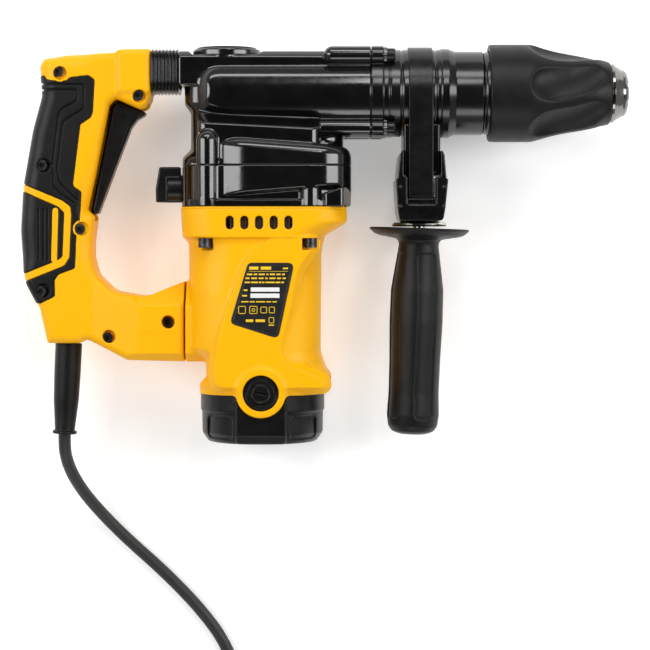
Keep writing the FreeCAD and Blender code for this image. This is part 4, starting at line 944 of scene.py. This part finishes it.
def make_fan_housing():
    s = Space((-280, -71.9, -42.4), (-173, -46, 42.4))
    core = case_core(s)
    plinth = rectangle(s.x, s.side, -279, -178.2, -60, 40.2, 19)
    skirt = rectangle(s.x, s.side, -276, -178.4, -60, 37.6, 17)
    plinth = np.maximum(plinth, s.y + 67.6)
    body = join(join(core, skirt, 0.5), plinth, 0.5)
    wide = tub_plan(s)
    low_edge = knots(s.x, [(-280, -66), (-250, -64), (-190, -59.2), (-173, -56.6)], 2)
    wide = meet(wide, (low_edge - s.y) * 0.85 + (s.side - 41) * 0.3, 1.2)
    body = join(body, wide, 0.8)
    body = join(body, pillars(s), 1.6)
    column = circle(s.x, s.side, COLUMN_X, 35.3, 6.9)
    body = join(body, column, 0.8)
    block = rectangle(s.x, s.side, -190.5, -178.6, -60, 40.8, 2)
    block = np.maximum(block, s.y + 59.7 + 0.35 * (-178.6 - s.x))
    body = join(body, block, 0.5)
    body = body + np.maximum(0.45 - np.abs(s.y - CASE_SEAM), 0)
    body = np.maximum(body, np.maximum(s.y - CASE_SEAM, -71.8 - s.y))
    hollow = np.broadcast_to(circle(s.x, s.z, MOTOR_X, 0, 34), body.shape)
    for place in (PILLAR[0], COLUMN_X):
        hollow = np.maximum(hollow, 0.5 - circle(s.x, s.side, place, 35, 6))
    body = carve(body, hollow)
    dress(s.mesh("fan_case", body), "housing", "black_casting", "fan_housing")


def make_barrel():
    s = Space((-162, -28.3, -28.3), (-75.6, 28.3, 28.3), VOXEL * 0.85)
    profile = [
        (-161.3, 26.6), (-153.9, 26.6), (-153.6, 27.4), (-117.6, 27.4),
        (-117.2, 28), (-112.8, 28), (-108.7, 26.2), (-76, 26.2),
    ]
    radius = knots(s.x, profile, 0.35)
    groove = 0
    for depth, half, place in ((0.8, 1.3, -90.2), (0.7, 1.1, -120.8), (0.7, 1.1, -142.1), (0.4, 0.9, -149.6)):
        groove = groove + depth * np.clip(half - np.abs(s.x - place), 0, 1)
    radial = circle(s.y, s.z, 0, 0, 0)
    body = radial - radius + groove
    flange = prism(join(radial - 28, four(s, 5.2), 1.2), s.x, -165, -153.6, 0.5)
    body = join(body, flange, 0.4)
    body = body + 0.7 * np.maximum(0.4 - np.abs(s.x - BARREL_SEAM), 0)
    body = np.maximum(body, np.maximum(BARREL_SEAM - s.x, s.x + 76))
    body = np.maximum(body, 21.2 - radial)
    dress(s.mesh("barrel_tube", body), "housing", "black_casting", "barrel", finish="black_satin")


def toothed(along, radius, angles):
    """Radius round a washer whose rim has twelve teeth."""
    return radius + (0.28 * np.sign(np.sin(12 * angles)) if radius > 3 else 0)


def make_barrel_screws():
    """Socket-head screws with toothed washers at the flange's corners."""
    for number, (y, z) in enumerate(((1, 1), (-1, 1), (1, -1), (-1, -1))):
        spot = (0, y * BOSS_PLACE, z * BOSS_PLACE)
        head = lathe(
            f"flange_screw_{number + 1}",
            [(-176, 0.01), (-176, 2.4), (-153.2, 2.4), (-151.6, 2.45), (-151.5, 3.9, 0.2), (-147.0, 3.9, 0.5),
             (-146.4, 3.4), (-146.4, 2.1), (-149.4, 2.0), (-149.6, 0.01)],
            spot, "x", 48,
        )
        washer = lathe(
            f"toothed_washer_{number + 1}",
            [(-153.5, 2.5), (-153.5, 4.2), (-152.5, 4.25), (-151.6, 4.2), (-151.6, 2.5), (-153.5, 2.5)],
            spot, "x", 48,
            wave=toothed,
        )
        dress(head, "housing", "screw_steel")
        dress(washer, "housing", "screw_steel", finish="steel_dark")
        if number == 0:
            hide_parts("barrel_screws")


def make_gear_cover():
    """The plate between the gears and the motor, inside the housings."""
    s = Space((-276, -50.6, -39), (-178, -45.8, 39))
    plan = join(tub_plan(s), case_core(s)) + 3.4
    body = prism(plan, s.y, -50.2, -46.2, 0.4)
    for x, radius in ((CRANK_X, 9.05), (MOTOR_X, 11.05), (LAY_X, 8.05)):
        body = carve(body, circle(s.x, s.z, x, 0, radius), 0.3)
    dress(s.mesh("gear_plate", body), "housing", "alloy", "gear_cover")


make_gear_case()
make_gear_cover()
make_fan_housing()
make_barrel()
make_barrel_screws()

# ------------------------------------------------------------------ chuck sleeve and nose

SLEEVE_PROFILE = [
    (-87.3, 28.6), (-86.9, 30.2), (-85.6, 30.6), (-61.0, 30.6), (-57.5, 29.9), (-51.3, 28.2),
    (-45.0, 26.7), (-36.0, 25.2), (-26.5, 24.2), (-20.0, 23.0), (-14.5, 20.6), (-11.2, 19.4),
    (-11.0, 17.0),
]


SLEEVE_SKIRT = 26.8  # clears the barrel's neck when the sleeve is drawn back
# How far the scoops are turned from straight up along the sleeve, in degrees
SCOOP_TURN = [(-70, 9), (-48, 10), (-35, 14), (-25, 21), (-11, 33)]


def make_sleeve():
    s = Space((-87.5, -31, -31), (-10.8, 31, 31), VOXEL * 0.85)
    radius = knots(s.x, SLEEVE_PROFILE[1:-1], 1.6)
    radial = circle(s.y, s.z, 0, 0, 0)
    body = radial - radius
    body = meet(body, s.x + 11.0, 1.2)
    body = meet(body, -87.3 - s.x, 0.9)
    along = s.x + 37.5
    taper = 0.085 * (along + np.sqrt(along * along + 36))
    blunt = np.where(along < 0, 25.0, 34.0)
    around = np.arctan2(s.y, s.z) - np.radians(knots(s.x, SCOOP_TURN, 3))
    for number in range(6):
        local = around - math.radians(60 * number)
        across, outward = radial * np.sin(local), radial * np.cos(local)
        depth = (outward - 31.3 + taper) / 9.4
        dish = np.sqrt((along / blunt) ** 2 + (across / 17.0) ** 2 + depth**2)
        body = carve(body, np.where(outward > 0, (dish - 1) * 9.0, 9.0), 0.9)
    body = np.maximum(body, 15.25 - radial)
    body = carve(body, np.maximum(radial - SLEEVE_SKIRT, s.x + 67.0))
    dress(s.mesh("grip_sleeve", body), "sleeve", "black_rubber", "chuck_sleeve")


def make_nose():
    dress(
        lathe(
            "nose_ring",
            [(-11.2, 11.5), (-11.2, 18.0), (-10.4, 18.5, 0.3), (-9.0, 18.5, 0.3), (-7.2, 17.2, 0.6),
             (-3.6, 14.9, 0.8), (-2.2, 14.5, 0.5), (-0.8, 13.4, 0.6), (-0.5, 12.4, 0.3),
             (-0.5, 11.5), (-11.2, 11.5)],
            (0, 0, 0), "x", 160,
        ),
        "spindle", "nose_metal", "nose_cap",
    )


make_sleeve()
make_nose()

# ------------------------------------------------------------------ rear handle

HANDLE = [
    (-298.6, 26.8, 2), (-318, 26.4, 6), (-321, 24.6, 5), (-351, 23.2, 6), (-366, 20.8, 3),
    (-368.4, 15.8, 4), (-367.2, 5.7, 4), (-366.6, -2.5, 10), (-372.3, -23.3, 30), (-378.6, -58.6, 60),
    (-380.3, -86.3, 60), (-378.2, -117, 30), (-370.4, -131.8, 8), (-368.7, -134.6, 5),
    (-363.8, -156.9, 2), (-343.5, -156.9, 4), (-339.1, -154.4, 6), (-313.5, -167.3, 5),
    (-277.8, -168.2, 0.5), (-277.8, -117.9, 0.5), (-302.4, -127.9, 14), (-322.5, -124.5, 12),
    (-333.2, -114, 10), (-335.8, -103, 8), (-335.8, -93.9, 4), (-334, -77.5, 3), (-338.4, -73.4, 2.5),
    (-333.2, -50.7, 6), (-324.8, -8.2, 3), (-320.7, -4.1, 3), (-305, -10.9, 6), (-301.8, -9.2, 4),
    (-299.2, -3.2, 4), (-298.6, 3.2, 2),
]
RUBBER = [
    (-384, 10.6), (-365, 10.2, 1), (-363.1, 7.5, 2), (-360, 6.9, 1), (-350.7, 6.9, 2), (-348.8, 8.9, 2),
    (-337.2, 10.3, 2.5), (-333.3, 7.5, 2.5), (-334.5, -13, 2), (-335.8, -16.1, 2), (-342.3, -20.5, 2),
    (-347, -57.2, 1), (-346.3, -59.1, 1), (-342, -62.2, 2), (-343.2, -81.4, 2), (-346.3, -83.9, 2),
    (-345.1, -89.5, 2), (-346, -110, 2), (-356.3, -113.8, 2), (-358.8, -117.5, 2), (-358.5, -127.5, 2),
    (-367.5, -131.8, 1), (-384, -133.5),
]
STRIPE_OUTER = [
    (-392, -52.5), (-376.2, -58.4, 3), (-353.8, -67.8, 2), (-348.8, -71.5, 2), (-348.2, -76.5, 2),
    (-349.5, -103.2, 2), (-352.6, -108.2, 3), (-375.6, -117.5, 3), (-392, -123),
]
STRIPE_INNER = [
    (-392, -56.9), (-376.2, -62.8, 3), (-356.3, -71.5, 2), (-352.6, -75.2, 2), (-353.8, -102.6, 2),
    (-356.9, -105.1, 2), (-375.6, -112.5, 3), (-392, -118.3),
]
GROOVE_OUTER = [
    (-372, 5.2), (-363.8, 5.0), (-340.3, 4.4, 2), (-340.4, -10.5, 3), (-352.6, -18, 3),
    (-353.8, -21.1, 3), (-356.9, -46, 5), (-356.3, -55.3, 3), (-351.3, -60.9, 3), (-345.0, -67.0),
]
GROOVE_INNER = [
    (-372, 1.4), (-363.8, 1.3), (-344.6, 1.2, 1.5), (-344.8, -5.6, 3), (-353.8, -10.5, 3),
    (-356.3, -14.9, 3), (-360, -46, 5), (-359.4, -58.4, 3), (-355.1, -63.4, 3), (-346.5, -68.9),
]
HANDLE_SCREWS = (
    (-354.9, 11.6), (-305.6, -2.9), (-365.1, -45.8), (-341.8, -85.3), (-365.9, -123.7),
    (-324.8, -152.5), (-287.7, -143.3),
)
RUBBER_SCREWS = (2, 4)  # places in the list above that sit in the rubber
RING_SCREWS = (0, 3)  # and those with a yellow ring round them
GRIP_TOP, ARM_TOP = 18.4, 24.2  # half thicknesses of the grip and the lower arm


def open_line(points, u, v, half):
    """A line of that half-width, with its corners rounded, not closed."""
    return trail(u, v, soften_line(points), half)


def make_handle():
    s = Space((-382, -169, -1), (-276.5, 28, 25), VOXEL * 0.85)
    flat = polygon(s.x, s.y, fillet(HANDLE))
    # The grip's rim is rounded by a wide radius, the arms' by a narrow one
    rise = np.clip((s.y + 118) / 14, 0, 1)
    wide = 5.0 + 4.5 * rise * np.clip((-332 - s.x) / 8, 0, 1)
    top = GRIP_TOP + 0.19 * np.clip(s.x + 335, 0, 30) * np.clip((-100 - s.y) / 12, 0, 1)
    a, b = flat + wide, s.z - top + wide
    body = np.hypot(np.maximum(a, 0), np.maximum(b, 0)) + np.minimum(np.maximum(a, b), 0) - wide
    # The lower arm, chamfered along both edges
    ridge = np.maximum(s.y + 133.5 - 0.9 * np.maximum(-307 - s.x, 0), 0)
    chamfer = (s.z - ARM_TOP + 0.9 * ridge) * 0.743
    body = np.where((s.x > -312) & (s.y < -100), meet(body, chamfer, 1.0), body)
    low_chamfer = (s.z - ARM_TOP + 1.1 * np.maximum(-162.5 - s.y, 0)) * 0.68
    body = np.where(s.y < -150, meet(body, low_chamfer, 0.8), body)
    # The block behind the bellows
    block = prism(rectangle(s.x, s.y, -320.5, -298.6, -2, 26.6, 3.0), s.z, -30, 20.2, 4.0)
    body = join(body, meet(block, flat, 0.5), 1.2)
    body = meet(body, s.x + 277.9, 0.6)
    # Screw wells
    for place in HANDLE_SCREWS:
        well = circle(s.x, s.y, *place, 4.1)
        body = carve(body, np.maximum(well, 15.6 - s.z), 0.5)
        body = join(body, np.maximum(well - 1, s.z - 12), 0)
    # Openings for the trigger, the cord and the works
    mouth = np.maximum(rectangle(s.x, s.y, -343.5, -315, -80, -3), s.z - 8.7)
    mouth = join(mouth, np.maximum(rectangle(s.x, s.y, -315.1, -301, -16, -5.5), s.z - 8.7))
    body = carve(body, mouth, 0.4)
    body = carve(body, np.maximum(circle(s.x, s.z, -352.4, 0, 8.9), s.y + 140))
    rubber_flat = polygon(s.x, s.y, fillet(RUBBER, 0))
    # Lines on the rubber
    stripe = polygon(s.x, s.y, soften_line(STRIPE_OUTER) + soften_line(STRIPE_INNER)[::-1])
    slot = stadium(s.x, s.y, (-358.1, -74), (-359, -104.5), 1.9)
    rings = np.full(np.broadcast_shapes(s.x.shape, s.y.shape), 9.0, dtype=np.float32)
    for index in RING_SCREWS:
        rings = np.minimum(rings, circle(s.x, s.y, *HANDLE_SCREWS[index], 5.5))
    # The yellow shell, hollow, with a bed for the rubber
    shell = carve(body, np.maximum(np.maximum(rubber_flat, -(body + 2.6)), 2.2 - s.z))
    cavity = np.maximum(np.maximum(flat + 4.4, s.z - 11.5), -1 - s.z)
    for place in HANDLE_SCREWS:
        cavity = np.maximum(cavity, -circle(s.x, s.y, *place, 5.2))
    shell = carve(shell, cavity)
    # The yellow shows through the rubber in a stripe, a bar and rings
    marks = np.minimum(np.minimum(stripe, slot), rings)
    inlay = np.maximum(np.maximum(marks, rubber_flat + 0.2), np.maximum(body - 0.15, -(body + 3.2)))
    inlay = np.maximum(inlay, 3.0 - s.z)
    shell = join(shell, inlay)
    for index in RING_SCREWS:
        well = np.maximum(circle(s.x, s.y, *HANDLE_SCREWS[index], 4.1), 15.6 - s.z)
        shell = carve(shell, well, 0.3)
    shell = np.maximum(shell, 0.06 - s.z)
    shell = shell + np.maximum(0.35 - s.z, 0)
    pad = np.maximum(np.maximum(rubber_flat + 0.15, body - 0.45), -(body + 2.4))
    pad = np.maximum(pad, 2.4 - s.z)
    pad = carve(pad, np.maximum(marks - 0.2, -(body + 4)), 0.35)
    groove = open_line(GROOVE_OUTER, s.x, s.y, 0.55)
    groove = np.minimum(groove, open_line(GROOVE_INNER, s.x, s.y, 0.55))
    for place in (-368.8, -366.0, -363.2):
        groove = np.minimum(groove, stadium(s.x, s.y, (place, -73), (place, -105), 0.5))
    pad = carve(pad, np.maximum(groove, -(body + 0.75)), 0.35)
    for index in RUBBER_SCREWS:
        well = np.maximum(circle(s.x, s.y, *HANDLE_SCREWS[index], 4.3), 15.0 - s.z)
        pad = carve(pad, well, 0.5)
    for name, field, slot_name, node in (
        ("handle_half", shell, "yellow_plastic", "handle_shell"),
        ("grip_pad", pad, "black_rubber", "grip_rubber"),
    ):
        right = s.mesh(name + "_right", field)
        dress(right, "handle", slot_name, node + "_right")
        dress(mirrored(right, name + "_left"), "handle", slot_name, node + "_left")


def mirrored(piece, name):
    """The same piece on the other side of the middle plane."""
    mesh = piece.data.copy()
    mesh.name = name
    mesh.materials.clear()
    count = len(mesh.vertices)
    normals = np.empty(3 * len(mesh.corner_normals), dtype=np.float32)
    mesh.corner_normals.foreach_get("vector", normals)
    points = np.empty(3 * count, dtype=np.float32)
    mesh.vertices.foreach_get("co", points)
    points[2::3] *= -1
    mesh.vertices.foreach_set("co", points)
    by_vertex = np.zeros((count, 3))
    order = np.empty(len(mesh.loops), dtype=np.int32)
    mesh.loops.foreach_get("vertex_index", order)
    by_vertex[order] = normals.reshape(-1, 3) * (1, 1, -1)
    mesh.flip_normals()
    mesh.normals_split_custom_set_from_vertices(by_vertex)
    mesh.update()
    twin = bpy.data.objects.new(name, mesh)
    bpy.context.collection.objects.link(twin)
    return twin


TRIGGER = [
    (-319.9, -4.6, 1.5), (-304.3, -11.2, 2), (-302.4, -12.4, 1), (-303.6, -14.3, 1.5), (-308, -16.8, 3),
    (-311.8, -21.8, 6), (-318.7, -39.4, 12), (-332.4, -75.7, 1.5), (-336.2, -76.3, 1.5),
    (-337.1, -73.8, 2), (-328.7, -33.1, 6), (-323.7, -8.1, 3),
]


def make_trigger():
    s = Space((-338, -77, -8.2), (-302, -4, 8.2), VOXEL * 0.75)
    flat = polygon(s.x, s.y, fillet(TRIGGER))
    body = prism(flat, s.z, -8, 8, 2.6)
    dress(s.mesh("trigger_key", body), "trigger", "black_plastic", "trigger")


def make_bellows():
    start, end, ribs = -298.6, -281.1, 8
    pitch = (end - start) / ribs
    around, steps = 96, 12  # points round the boot, and along each rib
    rows = []
    for row in range(ribs * steps + 1):
        share = row / steps
        fold = (0.5 - 0.5 * math.cos(2 * math.pi * share)) ** 0.7
        rows.append((start + pitch * share, 3.0 * (1 - fold)))
    points = []
    angles = 2 * math.pi * np.arange(around) / around
    half_y, half_z, middle = 14.0, 20.0, 13.2
    # A rounded square, as a superellipse
    power = 5.0
    c, w = np.cos(angles), np.sin(angles)
    scale = (np.abs(c) ** power + np.abs(w) ** power) ** (-1 / power)
    for along, depth in rows:
        y, z = middle + (half_y - depth) * c * scale, (half_z - depth) * w * scale
        points.append(np.stack([np.full(around, along), y, z], axis=1))
    index = np.arange(around)
    after = (index + 1) % around
    quads = []
    for row in range(len(rows) - 1):
        low, high = row * around, (row + 1) * around
        quads.append(np.stack([low + index, low + after, high + after, high + index], axis=1))
    no_triangles = np.zeros((0, 3), int)
    piece = mesh_piece("bellows_boot", np.concatenate(points), no_triangles, np.concatenate(quads))
    thick = piece.modifiers.new("wall", "SOLIDIFY")
    thick.thickness = 1.2 * MM
    thick.offset = -1
    piece.data.materials.append(FINISH["boot_rubber"])
    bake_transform(piece)
    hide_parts("bellows")


def make_knob():
    s = Space((-297.2, -69.2, -9.2), (-270.8, -45.6, 9.2), VOXEL * 0.6)
    axis_y = -60.0
    hub = meet(circle(s.y, s.z, axis_y, 0, 8.5), np.abs(s.x + 284.4) - 5.0, 1.0)
    wing = [
        (-294.4, -46.3, 1.5), (-281, -46.3, 1), (-280.4, -68.6, 1), (-296.6, -68.6, 1.5), (-296.7, -60, 4)
    ]
    wing = prism(polygon(s.x, s.y, fillet(wing)), s.z, -4.6, 4.6, 1.3)
    body = join(hub, wing, 1.0)
    body = join(body, np.maximum(circle(s.y, s.z, axis_y, 0, 3), np.abs(s.x + 276) - 5))
    dot = np.maximum(np.hypot(s.y + 51, s.z) - 1.0, np.abs(s.x + 296.7) - 0.4)
    body = carve(body, dot, 0.2)
    dress(s.mesh("selector_knob", body), "knob", "black_plastic", "mode_knob")


def make_guard():
    """The cord's tapered sleeve, with a flared lip at its end."""
    lean = math.radians(-2.9)
    turn = [[math.cos(lean), -math.sin(lean), 0], [math.sin(lean), math.cos(lean), 0], [0, 0, 1]]
    dress(
        lathe(
            "cord_sleeve",
            [(0, 4.2), (0, 8.4), (-20, 8.3), (-36, 7.9, 20), (-54.4, 6.3), (-55.2, 6.4, 0.4),
             (-55.8, 7.6, 0.4),
             (-57.2, 7.7, 0.5), (-57.6, 6.6, 0.4), (-57.6, 4.3), (0, 4.2)],
            (-352.1, -157.4, 0), "y", 96, turn,
        ),
        "handle", "black_rubber", "cord_guard",
    )


make_handle()
make_trigger()
make_bellows()
make_knob()
make_guard()

# ------------------------------------------------------------------ side handle

GRIP_PLACE = (-130.4, -83.8)
GRIP_LEAN = math.radians(-1.9)
COLLAR = 27.45
STRAP_RADIUS, STRAP_HALF = 28.15, 0.7  # the strap's middle line and half its thickness


def make_band():
    """The steel strap round the collar, whose legs run down into the yoke."""
    s = Space((-138.4, -66.5, -29.2), (-122.6, 29.2, 29.2), VOXEL * 0.8)
    ring = np.abs(circle(s.y, s.z, 0, 0, STRAP_RADIUS)) - STRAP_HALF
    legs = np.maximum(np.abs(s.side - STRAP_RADIUS) - STRAP_HALF, np.maximum(s.y, -66.0 - s.y))
    strap = np.where(s.y > 0, ring, legs)
    body = prism(strap, s.x, -138.1, -122.9, 0.3)
    dress(s.mesh("clamp_strap", body), "side_handle", "band_steel", "clamp_band")


def make_saddle():
    s = Space((-141.5, -52.3, -24.3), (-118.2, -20, 24.3), VOXEL * 0.9)
    body = prism(rectangle(s.y, s.z, -52, -10, -24, 24, 3), s.x, -141.3, -118.4, 1.6)
    body = np.maximum(body, COLLAR - circle(s.y, s.z, 0, 0, 0))
    body = np.maximum(body, s.y + 20.5)
    hollow = prism(rectangle(s.y, s.z, -60, -34, -20, 20, 2), s.x, -137, -122.6, 1)
    body = carve(body, hollow, 0.5)
    dress(s.mesh("saddle_block", body), "side_handle", "black_gloss_plastic", "clamp_saddle")


YOKE = [
    (-144.0, -80.4, 3), (-116.8, -80.4, 3), (-115.4, -72, 8), (-113.7, -54.8, 1.2),
    (-114.8, -54.4, 0.8), (-116.2, -38.5, 6), (-119.4, -35.6, 3), (-140.6, -35.6, 3),
    (-143.6, -38.5, 6), (-145.2, -54.4, 0.8), (-146.2, -54.8, 1.2), (-145.2, -72, 8),
]


def make_yoke():
    s = Space((-146.6, -81, -30.8), (-113.3, -35, 30.8), VOXEL * 0.9)
    flat = polygon(s.x, s.y, fillet(YOKE))
    body = prism(flat, s.z, -30.5, 30.5, 0.6)
    throat = rectangle(s.x, s.y, -141.4, -118.3, -53, -20, 0.5)
    body = carve(body, throat, 0.3)
    leg = np.maximum(np.abs(s.x + 130.5) - 8.1, np.abs(s.side - STRAP_RADIUS) - STRAP_HALF - 0.4)
    body = carve(body, np.maximum(leg, -66.6 - s.y))
    window = np.maximum(rectangle(s.x, s.y, -139.4, -121.0, -70.6, -50, 1.0), 28.2 - s.side)
    body = carve(body, window, 0.3)
    body = carve(body, rectangle(s.x, s.y, -122.7, -121.3, -66, -45))
    body = carve(body, circle(s.x, s.z, GRIP_PLACE[0], 0, 4.6))
    # Rivet heads on the cheeks
    for y in (-59.5, -71.5):
        for x in (-143.4, -116.6):
            dot = np.hypot(np.hypot(s.x - x, s.y - y), s.side - 30.3) - 0.8
            body = join(body, dot, 0.3)
    dress(s.mesh("grip_yoke", body), "side_handle", "black_gloss_plastic", "side_yoke")


def make_washer():
    dress(
        lathe(
            "zinc_washer",
            [(0, 4.2), (0.1, 16.6), (0.5, 17.3, 0.3), (1.5, 17.5, 0.3), (2.4, 17.2, 0.3), (3.2, 15.8, 0.6),
             (3.3, 9.0, 0.4), (2.6, 8.4, 0.3), (2.6, 4.2), (0, 4.2)],
            (GRIP_PLACE[0], GRIP_PLACE[1], 0), "y", 128,
        ),
        "side_handle", "nickel", "grip_washer",
    )


GRIP_HALF = [
    (-1.0, 31.5), (-2.2, 31.6), (-5.4, 27.8), (-6.6, 23.0), (-7.6, 14.6), (-9.6, 12.9), (-12.0, 12.6),
    (-24, 14.4), (-40, 16.6), (-60, 16.8), (-85, 16.1), (-105, 15.9), (-119, 16.5), (-126, 15.6),
    (-129.6, 13.2), (-131, 10.0),
]


def make_grip():
    length = 131.2
    s = Space((-32.4, -length - 0.5, -32.4), (32.4, -0.4, 32.4))
    radial = circle(s.x, s.z, 0, 0, 0)
    radius = knots(s.y, GRIP_HALF, 0.7)
    body = radial - radius
    # Four shallow flats make the grip's section a soft square
    angle = np.arctan2(s.z, s.x)
    zone = np.clip((-18 - s.y) / 14, 0, 1) * np.clip((s.y + 129) / 8, 0, 1)
    body = body + zone * 0.45 * (1 - np.cos(4 * angle)) * 0.5
    body = meet(body, s.y + 1.0, 1.0)
    body = meet(body, -length - s.y, 3.0)
    # A long sunk panel on each face
    for quarter in range(4):
        turn = math.radians(90 * quarter + 90 - 24)
        across = s.x * -math.sin(turn) + s.z * math.cos(turn)
        outward = s.x * math.cos(turn) + s.z * math.sin(turn)
        panel = rectangle(across, s.y, -6.2, 6.2, -121, -17, 3.0)
        panel = np.maximum(panel, -outward)
        body = carve(body, np.maximum(panel, -(body + 1.0)), 0.9)
    body = carve(body, np.maximum(radial - 4.3, -61 - s.y))
    core = np.maximum(radial - knots(s.y, GRIP_HALF, 3) + 4.6, np.maximum(s.y + 66, -122 - s.y))
    body = carve(body, core)
    piece = s.mesh("grip_tube", body)
    piece.data.transform(
        Matrix.Translation((GRIP_PLACE[0] * MM, GRIP_PLACE[1] * MM, 0)) @ Matrix.Rotation(GRIP_LEAN, 4, "Z")
    )
    dress(piece, "side_grip", "black_rubber", "side_grip")


make_band()
make_saddle()
make_yoke()
make_washer()
make_grip()
